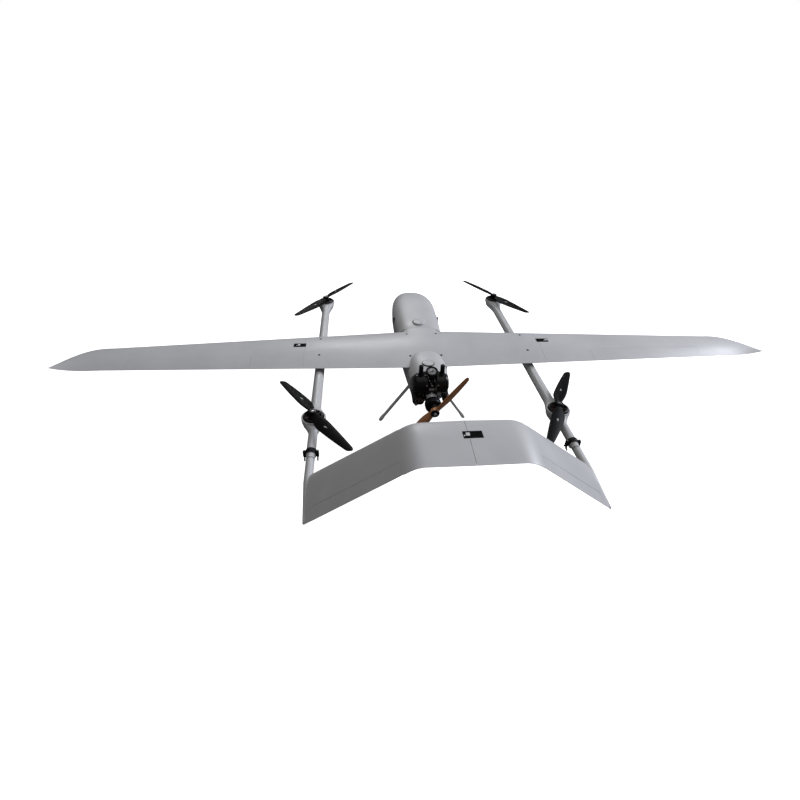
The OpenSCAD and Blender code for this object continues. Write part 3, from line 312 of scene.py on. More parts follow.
# ---- Mesh building -------------------------------------------------------------------------------
class Piece:
    """Geometry in millimetres, gathered from closed shells, then built as one object."""

    def __init__(self, *materials):
        self.materials = materials or (PAINT,)
        self.verts, self.faces, self.mats = [], [], []

    def add(self, verts, faces, mat=0, place=None):
        base = len(self.verts)
        place = place or Matrix()
        self.verts += [place @ Vector(v) for v in verts]
        self.faces += [[base + i for i in f] for f in faces]
        self.mats += [mat] * len(faces)
        return self

    def loft(self, rings, mat=0, place=None):
        n, rows = len(rings[0]), len(rings)
        faces = []
        for i in range(rows - 1):
            for j in range(n):
                m = (j + 1) % n
                faces.append((i * n + j, i * n + n + j, i * n + n + m, i * n + m))
        faces += [list(range(n)), list(range((rows - 1) * n, rows * n))[::-1]]
        return self.add([p for r in rings for p in r], faces, mat, place)

    def lathe(self, profile, mat=0, place=None, seg=64):
        """Turned solid: profile is (radius, height) pairs about Z; it may start and end on the axis."""
        verts, rows = [], []
        for r, z in profile:
            if r < 1e-6:
                rows.append([len(verts)])
                verts.append((0, 0, z))
            else:
                rows.append(list(range(len(verts), len(verts) + seg)))
                verts += [(r * cos(360 * j / seg), r * sin(360 * j / seg), z) for j in range(seg)]
        faces = []
        closed = len(rows[0]) > 1
        pairs = list(zip(rows, rows[1:])) + ([(rows[-1], rows[0])] if closed else [])
        for a, b in pairs:
            for j in range(seg):
                m = (j + 1) % seg
                if len(a) == 1 and len(b) == 1:
                    break
                if len(a) == 1:
                    faces.append((a[0], b[j], b[m]))
                elif len(b) == 1:
                    faces.append((a[j], b[0], a[m]))
                else:
                    faces.append((a[j], b[j], b[m], a[m]))
        return self.add(verts, faces, mat, place)

    def rod(self, r, z0, z1, mat=0, place=None, seg=64):
        return self.lathe([(0, z0), (r, z0), (r, z1), (0, z1)], mat, place, seg)

    def prism(self, outline, z0, z1, mat=0, place=None):
        n = len(outline)
        verts = [(x, y, z) for z in (z0, z1) for x, y in outline]
        faces = [(j, (j + 1) % n, n + (j + 1) % n, n + j) for j in range(n)]
        faces += [list(range(n))[::-1], list(range(n, 2 * n))]
        return self.add(verts, faces, mat, place)

    def block(self, size, centre=(0, 0, 0), mat=0, place=None, r=1.0):
        """Box with rounded upright edges and a small chamfer above and below."""
        x, y, z = (s / 2 for s in size)
        r = min(r, x * 0.98, y * 0.98, z * 0.9)
        outline = rounded(2 * x, 2 * y, r)
        inner = rounded(2 * (x - 0.45 * r), 2 * (y - 0.45 * r), 0.6 * r)
        rings = [[(a, b, h) for a, b in o] for o, h in
                 ((inner, -z), (outline, -z + 0.45 * r), (outline, z - 0.45 * r), (inner, z))]
        at = Matrix.Translation(centre)
        return self.loft(rings, mat, (place or Matrix()) @ at)

    def box(self, size, centre, place=None):
        """Plain box, for cutting only."""
        x, y, z = (v / 2 for v in size)
        ring = lambda h: [(centre[0] + a * x, centre[1] + b * y, centre[2] + h)
                          for a, b in ((-1, -1), (1, -1), (1, 1), (-1, 1))]
        return self.loft([ring(-z), ring(z)], 0, place)

    def tube(self, path, radius, mat=0, seg=12, place=None):
        """Round tube along a path of points; radius is a number or one for each point."""
        path = [Vector(p) for p in path]
        radii = radius if isinstance(radius, (list, tuple)) else [radius] * len(path)
        up, rings = Vector((0.13, 0.21, 0.97)), []
        for i, p in enumerate(path):
            t = (path[min(i + 1, len(path) - 1)] - path[max(i - 1, 0)]).normalized()
            a = (up - t * up.dot(t)).normalized()
            up = a
            b = t.cross(a)
            rings.append([p + radii[i] * (cos(360 * j / seg) * a + sin(360 * j / seg) * b)
                          for j in range(seg)])
        return self.loft(rings, mat, place)

    def screw(self, place, r=4.5, h=2.2, mat=0, socket=0.5):
        """Cap screw head with a hexagon socket, standing on z = 0 of its place."""
        six = lambda k, z: [(k * cos(60 * (j // 4) + 15 * (j % 4)) * hexa(15 * (j % 4)),
                             k * sin(60 * (j // 4) + 15 * (j % 4)) * hexa(15 * (j % 4)), z)
                            for j in range(24)]
        ring = lambda k, z: [(k * cos(15 * j), k * sin(15 * j), z) for j in range(24)]
        rings = [ring(r, 0), ring(r, h - 0.12 * r), ring(r * 0.9, h), ring(r * socket * 1.1, h),
                 six(r * socket, h - 0.1), six(r * socket, h * 0.35)]
        return self.loft(rings, mat, place)

    def as_object(self, name, mirror, merge=False):
        flip = -1 if mirror else 1
        mesh = bpy.data.meshes.new(name)
        mesh.from_pydata([(flip * v[0] * MM, v[1] * MM, v[2] * MM) for v in self.verts], [], self.faces)
        for m in self.materials:
            mesh.materials.append(m)
        mesh.polygons.foreach_set("material_index", self.mats)
        bm = bmesh.new()
        bm.from_mesh(mesh)
        if merge:
            bmesh.ops.remove_doubles(bm, verts=bm.verts, dist=1e-7)
        bmesh.ops.recalc_face_normals(bm, faces=bm.faces)
        bm.to_mesh(mesh)
        bm.free()
        return linked(name, mesh)

    def build(self, name, body="airframe", replaces=(), angle=38, mirror=False,
              bevel=0.0, cutters=()):
        ob = self.as_object(name, mirror, merge=True)
        for cutter in cutters:
            subtract(ob, cutter, mirror)
        mesh = ob.data
        mesh.shade_smooth()
        mesh.set_sharp_from_angle(angle=math.radians(angle))
        if bevel:
            b = ob.modifiers.new("edges", "BEVEL")
            b.width = bevel * MM
            b.segments = 2
            b.limit_method = "ANGLE"
            b.angle_limit = math.radians(40)
            b.harden_normals = True
        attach(ob, body)
        if replaces:
            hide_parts(*replaces)
        return ob


def subtract(ob, cutter, mirror):
    """Cuts another piece's geometry out of an object, and keeps the result as its mesh."""
    tool = cutter.as_object("cutter", mirror)
    mod = ob.modifiers.new("cut", "BOOLEAN")
    mod.operation = "DIFFERENCE"
    mod.solver = "EXACT"
    mod.object = tool
    bpy.context.view_layer.update()
    result = bpy.data.meshes.new_from_object(ob.evaluated_get(bpy.context.evaluated_depsgraph_get()))
    ob.modifiers.clear()
    ob.data = result
    bpy.data.objects.remove(tool)


def turns(n, start=0):
    """Evenly spaced angles around a circle."""
    return [start + 360 * k / n for k in range(n)]


def hexa(a):
    """Distance to the side of a hexagon at angle a from a corner, for a corner at distance 1."""
    return cos(30) / cos(a - 30)


def rounded(w, h, r, steps=5):
    """Rectangle outline with round corners, centred."""
    pts = []
    for k, (sx, sy) in enumerate(((1, 1), (-1, 1), (-1, -1), (1, -1))):
        for i in range(steps + 1):
            a = 90 * k + 90 * i / steps
            pts.append((sx * (w / 2 - r) + r * cos(a), sy * (h / 2 - r) + r * sin(a)))
    return pts


def at(x, y, z, rx=0, ry=0, rz=0):
    turn = Matrix.Rotation(math.radians(rz), 4, "Z") @ Matrix.Rotation(math.radians(ry), 4, "Y") \
        @ Matrix.Rotation(math.radians(rx), 4, "X")
    return Matrix.Translation((x, y, z)) @ turn


def lying(place, normal):
    """A frame at a point with its Z along a direction."""
    return Matrix.Translation(place) @ Vector(normal).to_track_quat("Z", "Y").to_matrix().to_4x4()


SIDES = (("right", False), ("left", True))
PROFILE_YZ = Matrix(((0, 0, 1, 0), (1, 0, 0, 0), (0, 1, 0, 0), (0, 0, 0, 1)))


# ---- Sizes shared with the CAD frame, in millimetres ----------------------------------------------
HALF_SPAN, JOINT_X, TIP_FROM = 1600.0, 548.0, 1400.0
LEAD0, SWEEP, TRAIL0, TRAIL_SWEEP = 262.0, 0.079, -51.0, 0.02
THICK, CAMBER, TILT, EDGE, LEVEL, TIP_RISE = 0.12, 0.03, 0.034, 0.4, 363.0, 15.0
AIL_FROM, AIL_TO, HINGE_Y, HINGE_R = 777.0, 1300.0, 40.0, 2.5
HINGE_Z = LEVEL - HINGE_R
SERVO_X, ROD, HORN = 1000.0, 70.0, 34.0
BOOM_X, BOOM_Z = 480.0, 306.0
FRONT_Y, REAR_Y, CLAMP_Y = 681.0, -373.0, -556.0
CRANK_Z, PUSHER_Y = 281.0, -300.0
SEAM_Z, COVER_H, BELLY_H, HALF_W = 312.0, 71.0, 155.0, 116.0
NOSE_FROM, NOSE_LEN, FIREWALL = 540.0, 265.0, -115.0
COVER_REAR, ROOT_END = 258.5, 108.0
SKIN, DISC_Y, CAP_Y, PROBE_Y = 2.5, 309, -60, 780
VENT = (100, 435, 332)


def half_thick(f, ratio):
    return 5 * ratio * (0.2969 * math.sqrt(max(f, 0)) - 0.1260 * f - 0.3516 * f ** 2
                        + 0.2843 * f ** 3 - 0.1015 * f ** 4)


def skin_z(f, chord, ratio, camber, tilt, side):
    return chord * (4 * camber * f * (1 - f) - tilt * f + side * half_thick(f, ratio)) + side * EDGE * f


def tip_part(x):
    return max(0.0, (x - TIP_FROM) / (HALF_SPAN - TIP_FROM))


def trail(x):
    root = TRAIL0 + TRAIL_SWEEP * min(x, TIP_FROM)
    return root + (TRAIL0 + TRAIL_SWEEP * TIP_FROM - 4 - root) * tip_part(x)


def lead(x):
    s, tip = tip_part(x), TRAIL0 + TRAIL_SWEEP * TIP_FROM - 4
    return tip + (LEAD0 - SWEEP * min(x, TIP_FROM) - tip) * (1 - s ** 3) ** 1.2


def wing_base(x):
    c0 = min(x, TIP_FROM)
    c = lead(c0) - trail(c0)
    f = (lead(c0) - HINGE_Y) / c
    return LEVEL + TIP_RISE * tip_part(x) ** 3 - skin_z(f, c, THICK, CAMBER, TILT, 1)


def wing_skin(x, f, side):
    return wing_base(x) + skin_z(f, lead(x) - trail(x), THICK, CAMBER, TILT, side)


def wing_at(x, y, side):
    x = abs(x)
    return wing_skin(x, min(1, max(0, (lead(x) - y) / (lead(x) - trail(x)))), side)


def wing_ring(x, points=34, root=False):
    ax = abs(x)
    fs = [(1 - cos(180 * i / points)) / 2 for i in range(points + 1)]
    c = lead(ax) - trail(ax)
    upper = [(x, lead(ax) - f * c, wing_skin(ax, f, 1)) for f in fs]
    if root:
        upper = [(q[0], q[1], root_top(ax, q[1], q[2])) for q in upper]
    lower = [(x, lead(ax) - f * c, wing_skin(ax, f, -1)) for f in fs]
    return upper[::-1] + lower[1:]


def root_top(x, y, skin):
    """Top of the wing root, which runs forward into the nose cover's shoulder."""
    if y < 150 or x > ROOT_END:
        return skin
    crest = wing_skin(60, 0.36, 1)
    w = body_w(COVER_REAR)
    shoulder = SEAM_Z + body_above(COVER_REAR) * max(0.0, 1 - (x / w) ** 3) ** (1 / 3)
    run = lerp(crest, shoulder, smooth_step(140, COVER_REAR, y))
    return lerp(skin, max(skin, run), 1 - smooth_step(72, ROOT_END, x))


# ---- Wing ----------------------------------------------------------------------------------------
def wing_screw_places():
    return [(BOOM_X, 175), (BOOM_X, 42), (71, 204), (71, 21)]


def centre_wing():
    p = Piece(PAINT)
    xs = [-JOINT_X + JOINT_X * 2 * i / 24 for i in range(25)]
    xs += [s * x for s in (-1, 1) for x in range(5, 110, 5)]
    xs = sorted(set(round(x, 2) for x in xs))
    p.loft([wing_ring(x, root=True) for x in xs])
    hole = Piece()
    for s in (-1, 1):
        for x, y in wing_screw_places():
            z = root_top(x, y, wing_at(x, y, 1))
            hole.rod(5.6, -8, 8, 0, at(s * x, y, z), 24)
    return p.build("centre_wing_skin", replaces=["centre_wing"], cutters=[hole])


def outer_wing(mirror):
    side = "left" if mirror else "right"
    p = Piece(PAINT)
    xs = [JOINT_X + 0.6, 640, 720, 777, 880, 1000, 1100, 1200, 1300, 1350, 1400, 1425, 1450, 1470, 1490,
          1508, 1525, 1540, 1552, 1563, 1573, 1581, 1588, 1592, 1595.8]
    p.loft([wing_ring(x) for x in xs])
    bay = Piece()
    bay.loft(hinge_bay(AIL_FROM - 0.55, AIL_TO + 0.55, HINGE_Y, HINGE_Z, HINGE_R, 0.18))
    arm, servo, slot = Piece(), Piece(), Piece()
    slot.box((4.4, 30, 40), (SERVO_X, HINGE_Y + 10, HINGE_Z - 10.5 - 20))
    arm.box((9.0, 40, 60), (SERVO_X + 1.5, HINGE_Y + ROD, LEVEL - 6 - 30))
    servo.box((21.3, 30.6, 70), (SERVO_X + 16.65, HINGE_Y + ROD + 7, HINGE_Z + 6.3 - 35))
    return p.build(f"{side}_wing_skin", replaces=[f"{side}_outer_wing"], cutters=[bay, arm, servo, slot],
            mirror=mirror)


def hinge_bay(x0, x1, y, z, r, gap):
    """Space behind a top hinge: its front wall is a groove around the hinge line."""
    groove = [(y + (r + gap) * cos(a), z + (r + gap) * sin(a)) for a in range(75, -1, -12)]
    profile = [(y - 200, z + 60), (y + 0.12, z + 60)] + groove + [(y + r + gap, z - 60), (y - 200, z - 60)]
    return [[(x, b, c) for b, c in profile] for x in (x0, x1)]


def conform(p, x0, x1, y0, y1, side, lift, thick, mat=0, steps=6):
    """Thin plate that lies on the wing's skin."""
    rows = []
    for i in range(steps + 1):
        x = lerp(x0, x1, i / steps)
        ys = [lerp(y0, y1, j / steps) for j in range(steps + 1)]
        outer = [(x, y, wing_at(x, y, side) + side * (lift + thick)) for y in ys]
        inner = [(x, y, wing_at(x, y, side) + side * lift) for y in reversed(ys)]
        rows.append(outer + inner)
    p.loft(rows, mat)


def wing_fittings():
    """Screws on top of the wing, the latch plates and the hatches around the servo arms."""
    screws = Piece(BLACK_METAL)
    for s in (-1, 1):
        for x, y in wing_screw_places():
            z = root_top(x, y, wing_at(x, y, 1))
            place = at(s * x, y, z - 1.6)
            screws.screw(place, 4.9, 2.6, socket=0.52)
            screws.rod(2.9, -30, 0.2, 0, place, 16)
    screws.build("wing_screw_heads", replaces=["wing_screws"])
    latches = Piece(LATCH, BLACK_METAL, MARK)
    x, y = WING_LATCH
    front, back = wing_at(x, y + 15, 1), wing_at(x, y - 15, 1)
    for s in (-1, 1):
        latch(latches, leaning(s * x, y, front, back), 1 if s > 0 else -0.2)
    x, y = TAIL_LATCH
    front, back = (TAIL_Z + skin_z((-743 - v) / 187, 187, TAIL_RATIO, 0, 0, 1) for v in (y + 15, y - 15))
    latch(latches, leaning(x, y, front, back), -0.75)
    latches.build("latch_plates", replaces=["joint_latches"])
    hatches = Piece(PAINT, BLACK_METAL)
    for s in (-1, 1):
        part = Piece(PAINT, BLACK_METAL)
        for x0, x1 in ((968, 996.4), (1007, 1048)):
            conform(part, x0, x1, 70, 142, -1, -0.4, 1.4)
        for x, y in ((973, 76), (973, 136), (1043, 76), (1043, 136)):
            part.screw(at(x, y, wing_at(x, y, -1) - 0.8, rx=180), 2.6, 1.4, 1)
        hatches.add([(s * v[0], v[1], v[2]) for v in part.verts], part.faces)
        hatches.mats[-len(part.mats):] = part.mats
    hatches.build("servo_hatches")


def leaning(x, y, front, back):
    """A place that follows the skin between heights 15 mm ahead and behind."""
    return at(x, y, (front + back) / 2, rx=slope_of(front - back, 30))


def latch(p, place, mark):
    """Draw latch: base plate, hinged lever with a wire bail, two screws and a pale patch."""
    p.block((56, 29, 1.6), (0, 0, 0.2), 0, place, 1.4)
    for y in (-9.5, 9.5):
        p.block((52, 5.5, 0.8), (0, y, 1.25), 0, place, 0.9)
    p.block((26, 11, 0.8), (-6, 0, 1.25), 0, place, 0.9)
    p.block((7, 11, 0.8), (20, 0, 1.25), 0, place, 0.9)
    for y in (-3.6, 3.6):
        p.tube([(5, y, 1.3), (12, y, 1.5), (18, y * 0.8, 1.4), (19.5, 0, 1.4)], 0.5, 1, 8, place)
    # Pale patches on the lever, placed along it for each latch by mark.
    p.block((11, 13, 0.7), (19 * mark, 1, 1.5), 2, place, 0.8)
    p.block((4, 5, 0.6), (19 * mark - 10, -4, 1.45), 2, place, 0.8)
    for x in (-25, 25):
        p.screw(place @ at(x, 0, 0.8), 2.2, 0.9, 1)


WING_LATCH, TAIL_LATCH = (571.0, 118.0), (12.0, -816.0)


# ---- Ailerons and their linkage ------------------------------------------------------------------
def face_foot(x):
    slope = 28
    under = wing_at(x, HINGE_Y - 6, -1)
    drop = HINGE_Z - HINGE_R * sin(slope) - under
    return HINGE_Y + HINGE_R * cos(slope) - drop * math.tan(math.radians(slope))


def aileron(mirror):
    side = "left" if mirror else "right"
    p = Piece(PAINT, BLACK, STEEL)
    rings = []
    for i in range(9):
        x = lerp(AIL_FROM, AIL_TO, i / 8)
        t, foot = trail(x), face_foot(x)
        top = [(x, lerp(HINGE_Y, t, k / 14), wing_at(x, lerp(HINGE_Y, t, k / 14), 1))
               for k in range(14, 0, -1)]
        nose = [(x, HINGE_Y + HINGE_R * cos(a), HINGE_Z + HINGE_R * sin(a)) for a in range(90, -29, -17)]
        low = [(x, lerp(foot, t, k / 14), wing_at(x, lerp(foot, t, k / 14), -1)) for k in range(15)]
        rings.append(top + nose + low)
    p.loft(rings)
    link = HINGE_Z - HORN
    horn = [(HINGE_Y + 3.8, link), (HINGE_Y - 5, HINGE_Z - 12), (HINGE_Y - 30, HINGE_Z - 9.5),
            (HINGE_Y - 17, HINGE_Z - 20)]
    eye = [(HINGE_Y + 3.8 * cos(a), link + 3.8 * sin(a)) for a in range(205, 361, 22)]
    p.prism(eye + horn, SERVO_X - 1.2, SERVO_X + 1.2, 1, PROFILE_YZ)
    for y in (HINGE_Y - 16, HINGE_Y - 29):
        for x in (SERVO_X - 5, SERVO_X + 5):
            p.screw(at(x, y, wing_at(SERVO_X, y, -1) + 0.4, rx=180), 1.8, 1.2, 2)
    p.block((16, 22, 1.6), (SERVO_X, HINGE_Y - 23, wing_at(SERVO_X, HINGE_Y - 23, -1) - 0.3), 1, r=1)
    p.build(f"{side}_aileron_skin", f"{side}_aileron", replaces=[f"{side}_aileron"], mirror=mirror)
    arm = Piece(BLACK, STEEL)
    y0 = HINGE_Y + ROD
    outline = [(y0 + 6 * cos(a), HINGE_Z + 6 * sin(a)) for a in range(0, 181, 15)]
    outline += [(y0 + 3.8 * cos(a), link + 3.8 * sin(a)) for a in range(180, 361, 20)]
    arm.prism(outline, SERVO_X - 1.2, SERVO_X + 1.2, 0, PROFILE_YZ)
    arm.screw(at(SERVO_X - 1.2, y0, HINGE_Z, ry=-90), 2.6, 1.4, 1)
    for k in (10, 18):
        arm.rod(1.1, -0.2, 0.2, 1, at(SERVO_X - 1.3, y0, HINGE_Z - k, ry=-90), 12)
    arm.build(f"{side}_arm", f"{side}_servo_arm", [f"{side}_servo_arm"], bevel=0.25,
            mirror=mirror)
    rod = Piece(STEEL, BLACK)
    x = SERVO_X + 2.8
    rod.tube([(x, HINGE_Y + 2, link), (x, HINGE_Y + ROD - 2, link)], 1.4, 0, 12)
    for y in (HINGE_Y, HINGE_Y + ROD):
        inward = 1 if y == HINGE_Y else -1
        rod.lathe([(1.3, -1.2), (3.6, -1.2), (3.8, -0.9), (3.8, 0.9), (3.6, 1.2), (1.3, 1.2)], 1,
                at(x, y, link, ry=90), 24)
        rod.rod(1.1, -4.4, 1.2, 0, at(x, y, link, ry=90), 16)
        rod.tube([(x, y + inward * 2.5, link), (x, y + inward * 11, link)], [2.6, 1.9], 1, 12)
        rod.rod(2.1, -0.8, 0.8, 0, at(x, y + inward * 12.5, link, rx=90), 6)
    rod.build(f"{side}_rod", f"{side}_pushrod", [f"{side}_pushrod"], mirror=mirror)


# ---- Tail ----------------------------------------------------------------------------------------
TAIL_Z, TAIL_RATIO = 590.0, 0.095
FIN_TOP, FIN_FOOT = (180.0, TAIL_Z - 15), (BOOM_X - 2, BOOM_Z + 2)
FIN_ANGLE = slope_of(FIN_TOP[1] - FIN_FOOT[1], FIN_FOOT[0] - FIN_TOP[0])
FIN_LEN = (FIN_FOOT[0] - FIN_TOP[0]) / cos(FIN_ANGLE)
RUD_FROM, RUD_TO, TAIL_HINGE, TAIL_R = 14.0, 362.0, 0.75, 2.0


def fin_lead(u):
    return -747 + (-658 + 747) * u / FIN_LEN


def fin_trail(u):
    return -928 + (-862 + 928) * u / FIN_LEN


def fin_hinge(u):
    return fin_lead(u) - TAIL_HINGE * (fin_lead(u) - fin_trail(u))


HINGE_TOP = skin_z(TAIL_HINGE, 172, TAIL_RATIO, 0, 0, 1)
HINGE_UP = HINGE_TOP - TAIL_R
HINGE_TURN = slope_of(fin_hinge(RUD_TO) - fin_hinge(RUD_FROM), RUD_TO - RUD_FROM)
RUD_SPAN = (RUD_TO - RUD_FROM) / cos(HINGE_TURN)


def fin_frame():
    return at(FIN_TOP[0], 0, FIN_TOP[1], ry=FIN_ANGLE)


def hinge_frame():
    return fin_frame() @ at(RUD_FROM, fin_hinge(RUD_FROM), HINGE_UP, rz=HINGE_TURN)


def tail_ring(x, z, angle, a, b, points=26):
    c = a - b
    fs = [(1 - cos(180 * i / points)) / 2 for i in range(points + 1)]
    ring = [(a - f * c, skin_z(f, c, TAIL_RATIO, 0, 0, 1)) for f in reversed(fs)]
    ring += [(a - f * c, skin_z(f, c, TAIL_RATIO, 0, 0, -1)) for f in fs[1:]]
    return [(x + q[1] * sin(angle), q[0], z + q[1] * cos(angle)) for q in ring]


def tail_half(mirror):
    side = "left" if mirror else "right"
    p = Piece(PAINT)
    rings = []
    for i in range(6):
        k = i / 5
        rings.append(tail_ring(lerp(0.55, 128, k), TAIL_Z, 0, lerp(-743, -746, k), lerp(-930, -929, k)))
    start, corner, end = Vector((128, TAIL_Z)), Vector((163, TAIL_Z)), Vector((194, FIN_TOP[1] - 12.5))
    for i in range(1, 9):
        k = i / 9
        c = start * (1 - k) ** 2 + corner * 2 * k * (1 - k) + end * k * k
        d = (corner - start) * (1 - k) + (end - corner) * k
        tilt = slope_of(-d[1], d[0])
        rings.append(tail_ring(c[0], c[1], tilt, -746.5, -928.6))
    for i in range(9):
        u = lerp(18, FIN_LEN, i / 8)
        rings.append(tail_ring(FIN_TOP[0] + u * cos(FIN_ANGLE), FIN_TOP[1] - u * sin(FIN_ANGLE), FIN_ANGLE,
                               fin_lead(u), fin_trail(u)))
    p.loft(rings)
    cut = Piece()
    cut.loft(hinge_bay(-0.55, RUD_SPAN + 0.55, 0, 0, TAIL_R, 0.18), 0, hinge_frame())
    boom = Piece()
    boom.lathe([(0, 0), (4.2, 0), (15.2, 168), (15.2, 420), (0, 420)], 0,
               at(BOOM_X, -858, BOOM_Z, rx=-90), 48)
    return p.build(f"{side}_tail_skin", replaces=[f"{side}_tail_half"], mirror=mirror, cutters=[cut, boom])


def ruddervator(mirror):
    side = "left" if mirror else "right"
    p = Piece(PAINT, STEEL)
    rings = []
    slope = 28
    for i in range(9):
        s = RUD_SPAN * i / 8
        u = RUD_FROM + s * cos(HINGE_TURN)
        a = fin_lead(u)
        c = a - fin_trail(u)
        foot = -(HINGE_TOP * 2 - TAIL_R) * math.tan(math.radians(slope)) + TAIL_R
        fs = [lerp(TAIL_HINGE, 1, k / 12) for k in range(12, 0, -1)]
        ring = [(s, (TAIL_HINGE - f) * c, skin_z(f, c, TAIL_RATIO, 0, 0, 1) - HINGE_UP) for f in fs]
        ring += [(s, TAIL_R * cos(t), TAIL_R * sin(t)) for t in range(90, -29, -17)]
        for k in range(13):
            y = lerp(foot, -(1 - TAIL_HINGE) * c, k / 12)
            ring.append((s, y, skin_z(TAIL_HINGE - y / c, c, TAIL_RATIO, 0, 0, -1) - HINGE_UP))
        rings.append(ring)
    p.loft(rings, 0, hinge_frame())
    for k in (0.22, 0.5, 0.78):
        p.tube([(RUD_SPAN * k - 4, 0.2, 0), (RUD_SPAN * k + 4, 0.2, 0)], TAIL_R + 0.25, 1, 16,
                hinge_frame())
    p.build(f"{side}_ruddervator_skin", f"{side}_ruddervator", replaces=[f"{side}_ruddervator"],
            mirror=mirror)


# ---- Booms ---------------------------------------------------------------------------------------
def boom_ring(y, w, up, k, low=21.0, n=56):
    """Round tube section that widens upwards into a motor pod as k goes from 0 to 1."""
    ring = []
    for j in range(n):
        a = 360 * j / n
        cx, cz = cos(a), sin(a)
        e = 2 / lerp(2, 4.5, k) if cz > 0 else 1
        z = (up if cz > 0 else low) * math.copysign(abs(cz) ** e, cz)
        narrow = 1 - 0.13 * k * (1 - smooth_step(0, 20, z))
        ring.append((w * math.copysign(abs(cx) ** e, cx) * narrow, y, BOOM_Z + z))
    return ring


def boom_section(y):
    """Half width, height over the centre line, flare and depth of the boom at a station."""
    w = top = low = 17.0 if y < REAR_Y else 21.0
    k = 0.0
    for my, back, ahead in ((REAR_Y, 66, 92), (FRONT_Y, 92, 46.4)):
        d = y - my
        reach = ahead if d > 0 else back
        if abs(d) >= reach:
            continue
        disc = math.sqrt(max(0.0, 46.4 ** 2 - d * d))
        if my == FRONT_Y and d > 0:
            return max(disc, 3.0), 30.0, 1.0, lerp(21, 6, smooth_step(8, 46, d))
        t = min(1.0, (reach - abs(d)) / (reach - 20))
        w = max(disc, w + (44 - w) * t ** 1.25)
        top = top + (30 - top) * min(1.0, (reach - abs(d)) / (reach - 34)) ** 1.2
        low = lerp(low, 21, t)
        k = min(1.0, (reach - abs(d)) / (reach - 38)) ** 1.3
    return w, top, k, low


def boom(mirror):
    side = "left" if mirror else "right"
    p = Piece(PAINT_BOOM, BLACK)
    ys, y = [], CLAMP_Y
    while y < FRONT_Y + 44:
        ys.append(y)
        y += 3 if min(abs(y - REAR_Y), abs(y - FRONT_Y)) < 100 else 22
    rings = []
    for y in ys + [FRONT_Y + 44, FRONT_Y + 45.5, FRONT_Y + 46.3]:
        w, top, k, low = boom_section(y)
        rings.append(boom_ring(y, w, top, k, low))
    p.loft([[(q[0] + BOOM_X, q[1], q[2]) for q in r] for r in rings])
    p.loft([[(BOOM_X + a * k, (5 + 210) / 2 + b * (1 if k == 1 else 0.99), z)
             for a, b in rounded(26, 205, 12.9)]
            for k, z in ((1, 318), (1, 335.5), (0.94, 336.4))])
    wells = Piece()
    for my in (REAR_Y, FRONT_Y):
        wells.rod(40.5, 0, 60, 0, at(BOOM_X, my, 308), 64)
    back = Piece()
    back.rod(15.1, 0, 60, 0, at(BOOM_X, CLAMP_Y - 2, BOOM_Z, rx=-90), 48)
    p.build(f"{side}_boom_skin", replaces=[f"{side}_boom"], mirror=mirror, cutters=[wells, back])
    rims = Piece(PAINT_BOOM, BLACK_METAL)
    for my in (REAR_Y, FRONT_Y):
        rims.lathe([(40.6, 322), (46.3, 322), (46.3, 334.8), (45.4, 336), (41.6, 336), (40.6, 335)], 0,
                   at(BOOM_X, my, 0), 96)
        for a in turns(4, 45):
            rims.screw(at(BOOM_X + 43.5 * cos(a), my + 43.5 * sin(a), 335.4), 1.6, 0.9, 1)
    rims.build(f"{side}_pod_rims", mirror=mirror)
    t = Piece(PAINT_BOOM, BLACK)
    t.lathe([(0, -302), (3.2, -302), (4, -300.5), (15, -134), (15, 54), (13, 54), (13, -130), (0, -134)], 0,
            at(BOOM_X, CLAMP_Y, BOOM_Z, rx=-90), 48)
    for k in (-22, -26):
        t.lathe([(15.0, k), (15.35, k), (15.35, k + 1.2), (15.0, k + 1.2)], 1,
                at(BOOM_X, CLAMP_Y, BOOM_Z, rx=-90), 48)
    t.build(f"{side}_tail_tube", replaces=[f"{side}_tail_boom"], mirror=mirror)


def clamps():
    p = Piece(BLACK, STEEL)
    for s in (-1, 1):
        place = at(s * BOOM_X, CLAMP_Y, BOOM_Z)
        ring = [(17.1, 0.6), (17.7, 0), (19.2, 0), (20, 0.9), (20, 6), (20.6, 7), (20.6, 15), (20, 16),
                (20, 21.1), (19.2, 22), (17.7, 22), (17.1, 21.4)]
        p.lathe(ring, 0, place @ at(0, 0, 0, rx=-90), 64)
        for e in (-1, 1):
            for z in (-5.3, 5.3):
                p.block((10, 14, 8.6), (e * 23, 11, z), 0, place, 1.6)
            p.lathe([(0, -27), (1.6, -27), (2, -26.4), (2, 13), (0, 13)], 1, place @ at(e * 23, 11, 0), 16)
            p.screw(place @ at(e * 23, 11, 9.6), 4, 3.6, 0)
            p.lathe([(2, -10), (5, -10), (5, -13.5), (4, -16.5), (2, -16.5)], 0,
                    place @ at(e * 23, 11, 0), 24)
            for w in (-1, 1):
                wing = [(e * 23, 11 + w * 3.2, -12), (e * 23, 11 + w * 7.5, -16),
                        (e * 23, 11 + w * 11.5, -22), (e * 23, 11 + w * 12.4, -25.5)]
                p.tube(wing, [2.6, 2.4, 2.9, 2.2], 0, 12, place)
    p.build("tube_clamps", replaces=["boom_clamps"], bevel=0.0)


# ---- Fuselage ------------------------------------------------------------------------------------
def spow(v, e):
    return math.copysign(abs(v) ** e, v)


def taper_part(y):
    return max(0.0, (460 - y) / (460 - FIREWALL))


def body_w(y):
    return HALF_W - 32 * taper_part(y) ** 1.5


def body_below(y):
    return BELLY_H - 45 * taper_part(y) ** 2


def body_above(y):
    if y > 200:
        return COVER_H - 9.4 * max(0.0, (330 - y) / 80) ** 2
    return 59 - 5 * ((y + 20) / 75) ** 2


def nose_k(y):
    s = min(0.99999, max(0.0, (y - NOSE_FROM) / NOSE_LEN))
    return (1 - s ** 2.2) ** 0.67


